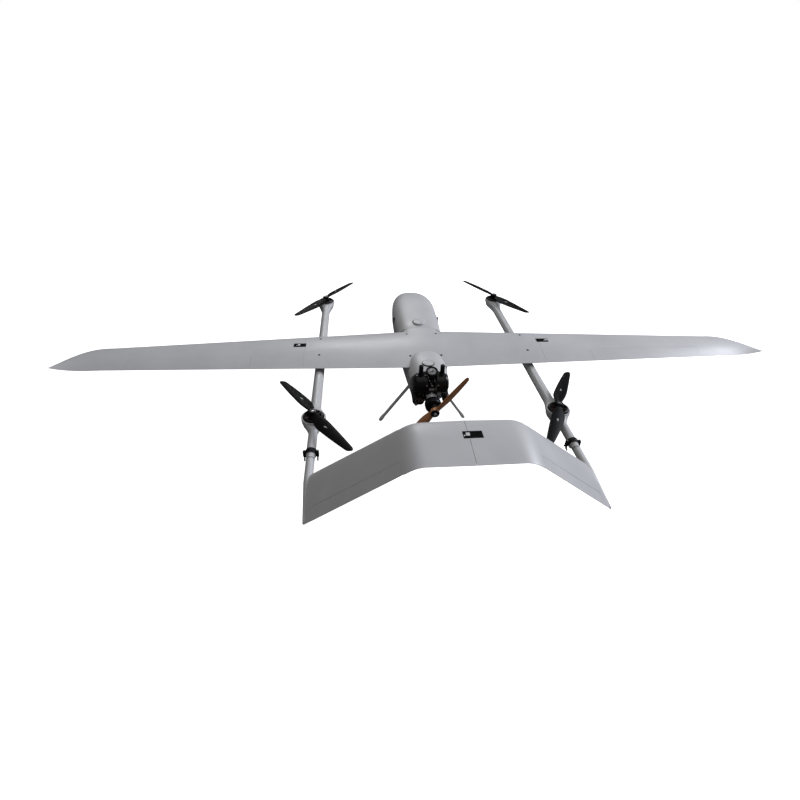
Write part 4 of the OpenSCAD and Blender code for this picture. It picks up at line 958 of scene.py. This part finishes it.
def body_point(y, a, inset=0.0):
    k = nose_k(y)
    p = 2.3 if y < 200 and a < 180 else 3.0
    height = (body_above(y) if a <= 180 else body_below(y)) - inset
    return ((body_w(y) - inset) * k * spow(cos(a), 2 / p), y, SEAM_Z + height * k * spow(sin(a), 2 / p))


def body_stations(y0, step=12):
    ys = [y0]
    while ys[-1] + step < NOSE_FROM:
        ys.append(ys[-1] + step)
    nose = [NOSE_FROM + NOSE_LEN * sin(90 * i / 30) for i in range(30)]
    return ys + nose + [NOSE_FROM + NOSE_LEN * 0.9993]


def shell(p, ys, angles, thick, mat=0):
    """Curved skin over stations and angles, with its thickness inwards."""
    rings = []
    for y in ys:
        outer = [body_point(y, a) for a in angles(y, 0)]
        deep = y - (thick if y > NOSE_FROM else 0)
        inner = [body_point(deep, a, thick) for a in reversed(angles(y, thick))]
        rings.append(outer + inner)
    p.loft(rings, mat)


def even(a, b, n=40):
    return [lerp(a, b, i / n) for i in range(n + 1)]


def super_angles(a, b, n=44):
    """Angles spread so that points are even around the squarish section."""
    return [lerp(a, b, (i / n - 0.058 * math.sin(4 * math.pi * i / n))) for i in range(n + 1)]


def fuselage():
    p = Piece()
    shell(p, body_stations(FIREWALL), lambda y, t: super_angles(180.25, 359.75), SKIN)
    cut = Piece()
    cut.box((92.6, 132.6, 40), (0, 400, 160))
    p.build("lower_shell_skin", replaces=["lower_shell"], cutters=[cut])

    extra = Piece(BLACK_METAL)
    for y in (-60, 40, 300, 420, 520, 620):
        for s in (-1, 1):
            for a in (10, -12):
                ang = 180 - a if s < 0 else (360 + a if a < 0 else a)
                if y < 260 and a > 0:
                    continue
                q = Vector(body_point(y, ang % 360 if ang != 360 else 0))
                n = Vector((s, 0, 0.12 if a > 0 else -0.1)).normalized()
                extra.screw(lying(q - n * 0.9, n), 2.7, 1.5, 0)
    extra.build("body_screws")

    cover = Piece(PAINT)
    shell(cover, body_stations(LEAD0 - 3.5, 10), lambda y, t: super_angles(179.4, 0.6), SKIN)
    hole = Piece()
    hole.rod(31.6, 0, 100, 0, at(0, DISC_Y, SEAM_Z + 30), 64)
    for s in (-1, 1):
        hole.rod(15.2, 0, 60, 0, at(s * (VENT[0] - 20), VENT[1], VENT[2], ry=90 * s), 48)
    cover.build("nose_cover_skin", replaces=["nose_cover"], cutters=[hole])

    walls = Piece(PAINT)
    ys = even(TRAIL0 + 1, LEAD0 - 4, 26)
    for s in (-1, 1):
        rings = []
        for y in ys:
            top = min(wing_at(101, min(y, lead(101) - 0.5), -1), wing_at(60, y, -1)) - 0.3
            col = [(body_w(y) - 1.5 * i / 6, y, lerp(SEAM_Z + 0.6, top, i / 6)) for i in range(7)]
            inner = [(x - SKIN, yy, z) for x, yy, z in reversed(col)]
            rings.append([(s * x, yy, z) for x, yy, z in col + inner])
        walls.loft(rings)
    walls.build("wing_root_walls", replaces=["wing_saddle"])
    hump()
    caps()


def hump_edge(y, inset):
    base = SEAM_Z + 0.6 if y < TRAIL0 - 1 else wing_at(0, max(y, TRAIL0), 1) + 0.25
    k = min(0.9999, max(0.0, (base - SEAM_Z) / (body_above(y) - inset)))
    return math.degrees(math.asin(k ** (2.3 / 2)))


def hump():
    p = Piece(PAINT)
    ys = even(FIREWALL, TRAIL0 - 1.4, 10) + even(TRAIL0 - 0.7, 45.5, 22)

    def angles(y, t):
        e = hump_edge(y, t)
        return even(180 - e, e, 44)

    shell(p, ys, angles, SKIN)
    cut = Piece()
    for s in (-1, 1):
        cut.rod(7.2, 0, 100, 0, at(s * 71, 21, SEAM_Z), 32)
    cut.rod(25.6, 0, 100, 0, at(0, CAP_Y, SEAM_Z + 30), 64)
    p.build("engine_hump_skin", replaces=["engine_cowl"], cutters=[cut])


def caps():
    p = Piece(PAINT, BLACK_METAL)
    z = SEAM_Z + COVER_H - 12
    p.lathe([(0, 0), (31, 0), (31, 13.3), (30.4, 14.8), (28.6, 16), (24, 17.2), (14, 18.5), (0, 19)], 0,
            at(0, DISC_Y, z), 96)
    p.lathe([(0, 360), (25, 360), (25, 370.8), (24.4, 371.8), (23.2, 372), (19.5, 372), (18.9, 371.2),
             (18.3, 371.2), (17.7, 371.9), (0, 371.9)], 0, at(0, CAP_Y, 0), 96)
    p.lathe([(25.1, 366), (27.4, 366), (27.4, 369.9), (26.6, 370.5), (25.1, 370.5)], 1, at(0, CAP_Y, 0), 96)
    p.build("round_cap_discs", replaces=["round_caps"])
    v = Piece(BLACK, STEEL)
    for s in (-1, 1):
        place = at(s * VENT[0], VENT[1], VENT[2], ry=90 * s)
        v.lathe([(0, 2), (11.6, 2), (11.6, 15.6), (12.6, 17.6), (14.2, 18), (15, 17.3), (15, 0), (0, 0)], 0,
                place, 48)
        for k in (-6.6, -2.2, 2.2, 6.6):
            w = 2 * math.sqrt(11.8 ** 2 - k * k)
            v.block((1.3, w, 9), (k, 0, 10.5), 0, place, 0.4)
    v.build("nose_vents", replaces=["side_vents"])
    t = Piece(TURNED, BLACK)
    t.lathe([(1.5, 6), (3.5, 6), (3.5, 38), (2.6, 41.4), (1.9, 42), (1.5, 41.6)], 0,
            at(0, PROBE_Y, SEAM_Z, rx=-90), 32)
    t.rod(3.5, 0, 6.4, 0, at(0, PROBE_Y, SEAM_Z, rx=-90), 32)
    for a in turns(6):
        t.rod(0.5, -0.1, 0.15, 1,
                lying((3.45 * cos(a), PROBE_Y + 33, SEAM_Z + 3.45 * sin(a)), (cos(a), 0, sin(a))), 8)
    t.lathe([(3.6, 21), (8, 21), (8, 23.4), (6.8, 25), (3.6, 25)], 1, at(0, PROBE_Y, SEAM_Z, rx=-90), 32)
    t.build("airspeed_probe", replaces=["pitot_tube"])


# ---- Legs ----------------------------------------------------------------------------------------
LEG_STATIONS = (("front", 560.0), ("rear", 18.0))
LEG_TOP = (53.5, 222.0)
FOOT_X = 208.0
LEG_ANGLE = slope_of(FOOT_X - LEG_TOP[0], LEG_TOP[1])
LEG_LEN = LEG_TOP[1] / cos(LEG_ANGLE)


def leg(node, y, mirror):
    p = Piece(LEG_PAINT_PAINTED_LIGHT, RUBBER, PALE)
    place = at(FOOT_X, y, 0, ry=-LEG_ANGLE) @ at(0, 0, 0, rz=90)

    def section(z, w, t):
        pts = []
        for j in range(32):
            a = 360 * j / 32
            pts.append((w / 2 * spow(cos(a), 0.9), t / 2 * spow(sin(a), 0.8), z))
        return pts

    rings = [section(lerp(10, LEG_LEN - 17, i / 10), 22, 11.5) for i in range(11)]
    p.loft(rings, 0, place)
    shoe = [section(z, w, t) for z, w, t in
            ((4.6, 24, 12.4), (6.2, 26.4, 15), (22, 26.4, 15), (26, 25, 13.6), (27.5, 22, 11))]
    flat = []
    for x, yy, _ in shoe[0]:
        v = place @ Vector((x, yy, 0))
        d = place.to_3x3() @ Vector((0, 0, 1))
        flat.append(v - d * (v[2] / d[2]) + Vector((0, 0, 0.05)))
    p.loft([flat] + [[place @ Vector(q) for q in r] for r in shoe], 2)
    grommet = LEG_LEN
    for t in range(400):
        z = LEG_LEN * t / 400
        q = place @ Vector((0, 0, z))
        w = body_w(y) ** 3
        if abs(q[0]) ** 3 / w + (max(0, SEAM_Z - q[2]) / body_below(y)) ** 3 < 1:
            grommet = z
            break
    p.loft([section(z, w, t) for z, w, t in
            ((grommet - 7, 22, 9), (grommet - 6, 27, 14), (grommet + 4, 31, 18), (grommet + 8, 31, 18))],
           1, place)
    p.build(f"{node}_strut", replaces=[node], mirror=mirror)


# ---- Engine --------------------------------------------------------------------------------------
SHROUD = (-165.0, 333.0, 42.0)
CASE_Y = -200.0
TILT_UP = 42.0


def along_y(y, z=CRANK_Z, x=0):
    return at(x, y, z, rx=-90)


def engine():
    m = Piece(CAST, STEEL, BLACK_METAL)
    ring = [body_point(FIREWALL, a, 2.9) for a in super_angles(0, 180) + super_angles(180, 360)[1:-1]]
    m.loft([[(x, FIREWALL + dy, z) for x, _, z in ring] for dy in (0.2, 6)])
    for a in (90, 238, 302):
        x, z = 38 * cos(a), CRANK_Z + 38 * sin(a)
        m.rod(5, 0, 35.5, 1, along_y(-150, z, x), 32)
        m.rod(8.5, -5.5, 0, 2, along_y(FIREWALL, z, x), 6)
    for a in turns(10, 18):
        q = body_point(FIREWALL, a if a != 180 else 179, 12)
        m.screw(lying((q[0], FIREWALL + 0.3, q[2]), (0, -1, 0)), 3.2, 2.4, 2)
    m.build("engine_plate", replaces=["engine_mount"], bevel=0.3)

    c = Piece(CAST, STEEL, BLACK_METAL)
    prof = [(0, 2), (26, 2), (30, 5), (30, 12), (28.6, 13), (28.6, 15), (30, 16), (30, 46), (28.6, 50),
            (0, 50)]
    c.lathe(prof, 2, along_y(CASE_Y), 64)
    c.lathe([(6.2, 0), (12, 0), (13.5, 1.5), (15, 10), (17.5, 22), (22, 30), (23, 36), (6.2, 36)], 0,
            along_y(-234.5), 64)
    for a in turns(8, 22.5):
        c.block((9, 2.2, 26), (16.5, 0, 13.5), 0, along_y(-229) @ at(0, 0, 0, rz=a), 0.8)
    for a in turns(6, 30):
        c.screw(lying((25.4 * cos(a), CASE_Y + 2.4, CRANK_Z + 25.4 * sin(a)), (0, -1, 0)), 3.0, 3.0, 1)
    for a in (90, 238, 302):
        c.lathe([(0, 0), (7.6, 0), (8.5, 1), (8.5, 8.5), (0, 8.5)], 2,
                along_y(-158.5, CRANK_Z + 38 * sin(a), 38 * cos(a)), 32)
        c.screw(lying((38 * cos(a), -158.4, CRANK_Z + 38 * sin(a)), (0, -1, 0)), 4.4, 2.2, 1)
    c.block((22, 26, 18), (0, -176, CRANK_Z + 34.5), 0, r=2)
    c.block((26, 30, 4), (0, -176, CRANK_Z + 41.6), 0, r=2)
    c.build("crankcase_casting", replaces=["crankcase"])

    cyl = Piece(CAST, STEEL)
    for s in (-1, 1):
        place = at(0, SHROUD[0], CRANK_Z, ry=-TILT_UP if s > 0 else 180 + TILT_UP) @ at(0, 0, 0, ry=90)
        prof = [(0, 30.3), (17, 30.3), (17, 34), (14.4, 35), (14.4, 42)]
        z = 42.0
        for _ in range(7):
            prof += [(14.4, z), (21.4, z + 0.2), (21.9, z + 0.9), (21.4, z + 1.6), (14.4, z + 1.8),
                    (14.4, z + 4.2)]
            z += 4.4
        prof += [(18, z), (18, 75.4), (17, 76), (0, 76)]
        cyl.lathe(prof, 0, place, 48)
        for a in turns(4, 45):
            cyl.screw(place @ at(15.4 * cos(a), 15.4 * sin(a), 75.6), 2.2, 1.6, 1)
    cyl.build("finned_cylinders", replaces=["cylinders"])
    shrouds()
    exhaust()
    intake()
    pusher()


def shrouds():
    y0, z0, r = SHROUD
    for s, mirror in ((1, False), (-1, True)):
        p = Piece(GLOSS, BLACK, STEEL)
        rings = []
        end = 78 if mirror else 72
        prof = [(19, r - 1.2), (20, r), (38, r), (end - 20, r)] + \
            [(end - 18 + 18 * sin(a), r - 18 + 18 * cos(a)) for a in range(0, 91, 9)]
        prof += [(end, 16), (end, 1)]
        inner = [(x - 2.4 if x > 24 else x, max(0.8, q - 2.4)) for x, q in reversed(prof)]
        for j in range(53):
            a = -47 + 274 * j / 52
            rings.append([(x, y0 + q * cos(a), z0 + max(q * sin(a), -30.0 if q > 20 else -q))
                          for x, q in prof + inner])
        p.loft(rings)
        for x in (27, 38, 49, 60):
            for side_y in (-1, 1):
                pts = [(x, y0 + side_y * (r + 0.1) * cos(a), z0 + (r + 0.1) * sin(a))
                       for a in range(-30, 62, 8)]
                p.tube(pts, 0.9, 1, 8)
        for a in (20, 160):
            q = (24, y0 + r * cos(a), z0 + r * sin(a))
            p.screw(lying(q, (0, cos(a), sin(a))), 2.6, 1.8, 2)
        p.lathe([(0, 0), (13.4, 0), (13.4, 2.2), (12, 3.4), (0, 3.4)], 1, at(45, -160, z0 + r - 1.4), 32)
        p.build(f"{'left' if mirror else 'right'}_cylinder_shroud", mirror=mirror,
                replaces=["cylinder_shrouds"])
    p = Piece(BLACK, STEEL, GLOSS)
    for s in (-1, 1):
        place = at(s * 45, -160, z0 + r + 0.2)
        p.lathe([(0, 0), (11, 0), (11, 2.6), (9.6, 4.2), (9.5, 12), (10, 12.6), (10, 14), (9.5, 14.6),
                 (9.4, 30), (9.5, 40.6), (8.8, 42.6), (7.6, 43.8), (0, 44)], 0, place, 48)
        lead_path = [(s * 38, -156, z0 + r + 7), (s * 30, -152, z0 + r + 4), (s * 21, -148, z0 + r - 9),
                     (s * 16, -142, z0 + r - 28), (s * 15, -134, z0 + r - 44), (s * 16, -124, z0 + r - 56)]
        p.tube(smooth_path(lead_path), 2.4, 0, 12)
    p.build("plug_cap_pair", replaces=["plug_caps"])


def smooth_path(points, per=6):
    """Catmull-Rom curve through the points."""
    pts = [Vector(q) for q in points]
    pts = [2 * pts[0] - pts[1]] + pts + [2 * pts[-1] - pts[-2]]
    out = []
    for i in range(1, len(pts) - 2):
        a, b, c, d = pts[i - 1:i + 3]
        for k in range(per):
            t = k / per
            out.append(0.5 * ((2 * b) + (c - a) * t + (2 * a - 5 * b + 4 * c - d) * t * t
                              + (3 * b - a - 3 * c + d) * t ** 3))
    return out + [pts[-2]]


def exhaust():
    p = Piece(HOT_TINT_AND_REFLECTION, STEEL, BLACK_METAL)

    def can(x, z, w, h, y0, length, turn=0):
        rings = []
        for k, inset in ((0, 7), (1.2, 3), (4, 0.8), (8, 0), (length - 8, 0), (length - 4, 0.8),
                (length - 1.2, 3), (length, 7)):
            o = rounded(w - 2 * inset, h - 2 * inset, min(w, h) / 2 - inset - 0.1, 8)
            rings.append([(x + a, y0 - k, z + b) for a, b in o])
        p.loft(rings)
        for k in (12, length - 12):
            o = rounded(w + 1.2, h + 1.2, min(w, h) / 2 + 0.4, 8)
            i = rounded(w - 1, h - 1, min(w, h) / 2 - 0.6, 8)
            p.loft([[(x + a, y0 - k - dy, z + b) for a, b in q]
                    for q, dy in ((i, -1.2), (o, -1.0), (o, 1.0), (i, 1.2))])

    can(-56, 269, 50, 34, -128, 84)
    can(65, 268, 30, 42, -140, 56)
    p.tube(smooth_path([(-68, -208, 269), (-68, -218, 268), (-68, -225, 264)]), 6.6, 0, 20)
    p.tube(smooth_path([(-47, -168, 284), (-46, -168, 290), (-42, -167, 294)]), 7.6, 0, 20)
    p.tube(smooth_path([(50, -168, 286), (49, -168, 291), (45, -167, 295)]), 6.8, 0, 20)
    for x, z in ((-47, 287), (49, 290)):
        p.rod(11, 0, 2.4, 1, at(x, -168, z - 1), 6)
    for x in (-70, -56, -42):
        p.screw(lying((x, -211.6, 276), (0, -1, 0)), 1.8, 1.2, 1)
    p.build("silencers", replaces=["mufflers"])


CARB_Y = -176.0
CARB_Z = CRANK_Z + 44


def intake():
    p = Piece(CAST, STEEL, BLACK)
    p.block((30, 34, 33.8), (0, CARB_Y, CARB_Z + 17.1), 2, r=4)
    p.block((34, 38, 3), (0, CARB_Y, CARB_Z + 3), 2, r=3)
    p.lathe([(0, 33), (12, 33), (12, 36), (11, 37), (11, 48), (13, 49), (13, 51), (0, 51)], 2,
            at(0, CARB_Y + 8, CARB_Z), 32)
    for x in (-11, 11):
        for y in (-13, 13):
            p.screw(at(x, CARB_Y + y, CARB_Z + 33.8), 2.3, 2, 1)
    p.rod(6, 0, 5, 1, at(15, CARB_Y + 2, CARB_Z + 12, ry=90), 6)
    p.lathe([(0, 0), (2, 0), (2, 7), (2.6, 7.6), (2, 9), (0, 9)], 1,
            at(-15, CARB_Y + 6, CARB_Z + 14, ry=-90), 16)
    hose = [(-23, CARB_Y + 6, CARB_Z + 14), (-27, CARB_Y + 12, CARB_Z + 10), (-26, CARB_Y + 26, CARB_Z - 4),
            (-20, CARB_Y + 44, CARB_Z - 16), (-16, CARB_Y + 60, CARB_Z - 22)]
    p.tube(smooth_path(hose), 2.6, 2, 12)
    p.tube([(0, CARB_Y - 21.4, CARB_Z + 16), (0, CARB_Y - 14, CARB_Z + 16)], 2, 1, 16)
    p.build("carburettor_body", replaces=["carburettor"])

    f = Piece(BLACK, GUN, RUBBER)
    base = at(0, CARB_Y + 8, CARB_Z + 51.2)
    f.lathe([(9, 0), (14, 0), (14, 3.4), (13.4, 4), (9, 4)], 0, base, 32)
    top = base @ at(0, 8, 11, rx=18) @ at(0, -4, -4)
    f.lathe([(0, 0.4), (22, 0), (25, 1.2), (25.5, 3), (25.5, 13), (24.9, 14.6), (23.6, 15), (22.2, 14.4),
             (21.6, 12.2), (21.4, 11), (0, 11)], 0, top, 64)
    f.lathe([(0, 10.8), (18.4, 10.8), (17.4, 12.2), (13, 12.6), (10.4, 11.4), (8.8, 11.2), (6.6, 12.4),
             (0, 13)], 1, top, 64)
    f.block((2.4, 13, 1.4), (0, 0, 13.4), 0, top, 0.6)
    f.block((13, 2.4, 1.4), (0, 0, 13.4), 0, top, 0.6)
    for a in turns(24):
        f.block((1.2, 2.4, 10.5), (0, 0, 0), 0, top @ at(25.3 * cos(a), 25.3 * sin(a), 8, rz=a), 0.5)
    f.build("filter_housing", replaces=["air_filter"])

    t = Piece(STEEL, BLACK)
    place = at(0, CARB_Y - 18 - 2.4, CARB_Z + 16, rx=90)
    arm = [(4.5 * cos(a), 4.5 * sin(a)) for a in range(35, 326, 15)]
    arm = [(x * cos(125) - y * sin(125), x * sin(125) + y * cos(125)) for x, y in arm]
    tip = [(12 + 2.5 * cos(a), 2.5 * sin(a)) for a in range(-90, 91, 18)]
    tip = [(x * cos(125) - y * sin(125), x * sin(125) + y * cos(125)) for x, y in tip]
    t.prism(arm + tip, 0.1, 2, 0, place)
    t.rod(2.6, 2, 3.6, 1, place @ at(12 * cos(125), 12 * sin(125), 0), 16)
    t.build("throttle_arm", "throttle_lever", ["throttle_lever"], bevel=0.2)


def pusher():
    d = Piece(BLACK_METAL, STEEL, TURNED)
    d.lathe([(6, 0), (27, 0), (32.6, 1.6), (34, 4), (34, 8), (33.2, 9), (33.2, 11), (34, 12), (34, 27.6),
             (32.6, 29.8), (24, 30), (22, 27), (7, 27)], 0, along_y(-265), 96)
    d.lathe([(4.1, 0), (15, 0), (16, 1), (16, 5), (12.4, 6.4), (12.4, 22), (15, 26.2), (4.1, 26.2)], 0,
            along_y(-290.8), 64)
    d.rod(6, 20.8, 134, 1, along_y(-290.8), 32)
    for a in turns(6):
        d.screw(lying((24 * cos(a), -264.9, CRANK_Z + 24 * sin(a)), (0, -1, 0)), 3.6, 3, 0)
    for a in turns(18, 10):
        d.block((3, 1.2, 12), (0, 0, 0), 0, along_y(-265) @ at(33.6 * cos(a), 33.6 * sin(a), 20, rz=a), 0.4)
    d.build("magneto_drum", "pusher", ["flywheel"])

    b = Piece(BLACK_METAL, STEEL)
    b.lathe([(4, 0), (15, 0), (17.4, 0.8), (18, 2), (18, 3.8), (4, 3.8)], 0, along_y(PUSHER_Y - 13), 64)
    b.rod(4, 0, 36, 1, along_y(PUSHER_Y - 12), 24)
    b.lathe([(0, 0), (6.4, 0), (7.5, 1), (7.5, 5.2), (0, 5.2)], 1, along_y(PUSHER_Y - 18), 6)
    b.rod(3.4, 0, 2, 1, along_y(PUSHER_Y - 19.4), 24)
    for a in turns(4, 45):
        b.screw(lying((12.6 * cos(a), PUSHER_Y - 12.8, CRANK_Z + 12.6 * sin(a)), (0, -1, 0)), 2.2, 1.8, 0)
    b.build("propeller_bolt", "pusher", ["prop_bolt"])

    w = Piece(WOOD)
    blades(w, 204.7, 17, (27, 38, 20), (15, 3.4), (32, 10), 1, pusher_place())
    w.lathe([(4.1, -9), (17.6, -9), (19, -7.6), (19, 7.6), (17.6, 9), (4.1, 9)], 0, pusher_place(), 64)
    w.build("wooden_propeller", "pusher", ["pusher_prop"])


def pusher_place():
    turn = Matrix.Rotation(math.radians(-54), 4, "Y") @ Matrix.Rotation(math.radians(90), 4, "X")
    return Matrix.Translation((0, PUSHER_Y, CRANK_Z)) @ turn


# ---- Propellers and lift motors --------------------------------------------------------------------
def blade_chord(q, root, widest, tip):
    end = 1 if q < 0.93 else math.sqrt(max(0, 1 - ((q - 0.93) / 0.07) ** 2))
    if q < 0.3:
        return end * (root + (widest - root) * sin(300 * q))
    return end * (widest + (tip - widest) * ((q - 0.3) / 0.7) ** 1.4)


def blades(p, radius, root_r, chords, thicks, pitches, hand, place, mat=0):
    qs = [0, 0.03, 0.06, 0.09, 0.12, 0.15, 0.18, 0.21, 0.24, 0.27, 0.30, 0.35, 0.4, 0.46, 0.52, 0.58, 0.64,
          0.7, 0.76, 0.82, 0.87, 0.91, 0.935, 0.95, 0.962, 0.972, 0.98, 0.987, 0.992, 0.996, 0.9985]
    for turn in (0, 180):
        rings = []
        for q in qs:
            c = max(0.8, blade_chord(q, *chords))
            t = thicks[0] + (thicks[1] - thicks[0]) * q ** 0.6
            pitch = pitches[0] + (pitches[1] - pitches[0]) * q
            ring = []
            for j in range(24):
                a = 360 * j / 24
                y = c * (0.5 * cos(a) - 0.18)
                hollow = 0.035 * c * (1 - cos(a) ** 2) if q > 0.1 else 0
                z = t * 0.5 * sin(a) * (1 + 0.3 * cos(a)) + hollow
                ring.append((root_r + q * (radius - root_r), hand * (y * cos(pitch) - z * sin(pitch)),
                             y * sin(pitch) + z * cos(pitch)))
            rings.append(ring)
        p.loft(rings, mat, place @ at(0, 0, 0, rz=turn))


LIFT_Z, LIFT_ROOT, STICKER = 355.0, 8, 105
LIFT_CHORDS, LIFT_THICK, LIFT_PITCH = (18, 52, 24), (9, 2.4), (15, 4)
MOTORS = (("front_left", -BOOM_X, FRONT_Y, 55, -1), ("front_right", BOOM_X, FRONT_Y, -59, 1),
          ("rear_left", -BOOM_X, REAR_Y, -56, 1), ("rear_right", BOOM_X, REAR_Y, 61, -1))


def lift_unit(name, x, y, turn, hand):
    body = f"{name}_lift_rotor"
    r = Piece(BLACK_METAL, STEEL, COPPER)
    prof = [(34.4, 315), (38, 315), (38.5, 315.6), (38.5, 322), (37.9, 322.6), (37.9, 324), (38.5, 324.6),
            (38.5, 339.6), (37.4, 341.8), (35, 343), (31.4, 343), (31.4, 339), (34.4, 338)]
    r.lathe(prof, 0, at(x, y, 0), 96)
    for a in turns(6, 30):
        spoke = at(x, y, 0, rz=a)
        rings = []
        for rr, w, h in ((10, 9, 6.0), (16, 6.4, 5.0), (24, 5.6, 4.2), (32.4, 8.5, 4.2)):
            rings.append([(rr, yy, 343 - 0.2 - hh) for yy, hh in
                          ((-w / 2, 0.8), (-w / 2 + 1, 0), (w / 2 - 1, 0), (w / 2, 0.8),
                           (w / 2, h), (-w / 2, h))])
        r.loft(rings, 0, spoke)
    r.lathe([(0, 336.5), (11, 336.5), (12, 338), (12, 348.4), (0, 348.4)], 0, at(x, y, 0), 48)
    r.rod(4, 311.4, 365, 1, at(x, y, 0), 24)
    r.lathe([(4, 361.6), (12.2, 361.6), (13, 362.4), (13, 363.6), (11.6, 365.1), (4, 365.1)], 0,
            at(x, y, 0), 48)
    for a in turns(4, 45 + turn):
        r.screw(at(x + 8.6 * cos(a), y + 8.6 * sin(a), 364.6), 2.0, 1.5, 1)
    r.build(f"{name}_motor_bell", body, [f"{name}_rotor"])
    p = Piece(CARBON, MARK, BLACK)
    place = at(x, y, LIFT_Z, rz=turn)
    blades(p, 265.7, LIFT_ROOT, LIFT_CHORDS, LIFT_THICK, LIFT_PITCH, hand, place)
    p.lathe([(4.1, -6.5), (15, -6.5), (16, -5.6), (16, 5.6), (15, 6.5), (4.1, 6.5)], 0, place, 64)
    for half in (0, 180):
        spot = place @ at(0, 0, 0, rz=half)
        q = (STICKER - LIFT_ROOT) / (266 - LIFT_ROOT)
        c, pitch = blade_chord(q, *LIFT_CHORDS), lerp(*LIFT_PITCH, q)
        t = LIFT_THICK[0] + (LIFT_THICK[1] - LIFT_THICK[0]) * q ** 0.6
        up = 0.5 * t + 0.035 * c
        flat = spot @ at(STICKER, -hand * 0.18 * c * cos(pitch), -0.18 * c * sin(pitch), rx=hand * pitch)
        p.block((15, 2.2, 0.5), (0, 1.6, up - 0.12), 1, flat, 0.9)
        p.block((9, 1.6, 0.5), (-3, -2.2, up - 0.12), 1, flat, 0.7)
    p.build(f"{name}_propeller", body, [f"{name}_lift_prop"])


def stators():
    p = Piece(CAST, COPPER, BLACK_METAL, STEEL)
    for _, x, y, _, _ in MOTORS:
        o = at(x, y, 308)
        p.lathe([(0, 0), (30, 0), (31, 1), (31, 4), (30, 5), (12, 5), (12, 12), (4.1, 14), (4.1, 3),
                 (0, 3)], 2, o, 48)
        p.lathe([(4.1, 13), (13, 13), (13, 28.4), (4.1, 28.4)], 3, o, 48)
        for a in turns(12):
            p.block((17, 5.5, 15), (21.4, 0, 20.6), 1, o @ at(0, 0, 0, rz=a), 2.2)
            p.block((2.4, 13, 16), (31, 0, 20.6), 3, o @ at(0, 0, 0, rz=a), 0.6)
        for a in turns(4, 45):
            p.screw(o @ at(24 * cos(a), 24 * sin(a), 4.6), 2.8, 2.4, 3)
    p.build("motor_stators", replaces=["lift_motor_stators"])


def belly_plate():
    p = Piece(TURNED, BLACK_METAL)
    hole = Piece()
    p.block((92, 132, 10), (0, 400, 155), 0, r=1.2)
    for x in (-30, 30):
        for y in (-50, 50):
            hole.rod(2.2, -8, 16, 0, at(x, 400 + y, 150), 32)
            hole.lathe([(0, -3), (3.4, -3), (2.2, 0.8), (0, 0.8)], 0, at(x, 400 + y, 150), 32)
    p.build("payload_mount", replaces=["payload_plate"], cutters=[hole])


# ---- CAD nodes that stay, with better materials ----------------------------------------------------
def dress(node, material):
    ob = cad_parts[node]
    ob.data.materials.clear()
    ob.data.materials.append(material)


def studio():
    mesh = bpy.data.meshes.new("floor")
    mesh.from_pydata([(-30, -30, 0), (30, -30, 0), (30, 30, 0), (-30, 30, 0)], [], [(0, 1, 2, 3)])
    mesh.materials.append(floor_surface("pale_floor"))
    ground = linked("floor", mesh)
    ground.location.z = -0.0005
    for name, place, size, power, colour in LIGHTS:
        data = bpy.data.lights.new(name, "AREA")
        data.shape = "RECTANGLE"
        data.size, data.size_y = size
        data.energy = power
        data.color = colour
        light = linked(name, data)
        light.location = place
        light.rotation_euler = (LIGHT_AIM - Vector(place)).to_track_quat("-Z", "Y").to_euler()
    world = bpy.data.worlds.new("studio")
    bpy.context.scene.world = world
    world.use_nodes = True
    t = world.node_tree
    sky = t.nodes["Background"]
    sky.inputs["Color"].default_value = (1.0, 1.0, 1.0, 1)
    path = t.nodes.new("ShaderNodeLightPath")
    glow = t.nodes.new("ShaderNodeMapRange")
    glow.inputs["To Min"].default_value = WORLD_LIGHT
    glow.inputs["To Max"].default_value = 1.0
    t.links.new(path.outputs["Is Camera Ray"], glow.inputs["Value"])
    t.links.new(glow.outputs["Result"], sky.inputs["Strength"])
    bpy.context.scene.view_settings.view_transform = "Standard"


LIGHT_AIM = Vector((0, 0, 0.35))
LIGHTS = (
    ("window", (7.5, 2.0, 4.9), (4.0, 3.0), 660, (0.88, 0.91, 1.0)),
    ("ceiling", (0.3, -0.5, 6.0), (6, 6), 60, (1.0, 0.99, 0.98)),
    ("front", (-0.25, 5.5, 4.3), (2.0, 1.4), 66, (1.0, 1.0, 1.0)),
)
WORLD_LIGHT = 0.13

add_camera()
centre_wing()
for _, flip in SIDES:
    outer_wing(flip)
    aileron(flip)
    tail_half(flip)
    ruddervator(flip)
    boom(flip)
wing_fittings()
clamps()
fuselage()
for which, station in LEG_STATIONS:
    for name, flip in SIDES:
        leg(f"{which}_{name}_leg", station, flip)
engine()
for unit in MOTORS:
    lift_unit(*unit)
stators()
belly_plate()
for kept, finish in (("wing_joiner_spars", CARBON), ("hinge_pins", STEEL), ("servos", BLACK),
                     ("leg_sockets", BLACK), ("fuel_tank", TANK), ("battery_packs", WRAP),
                     ("flight_controller", BLACK)):
    dress(kept, finish)
studio()
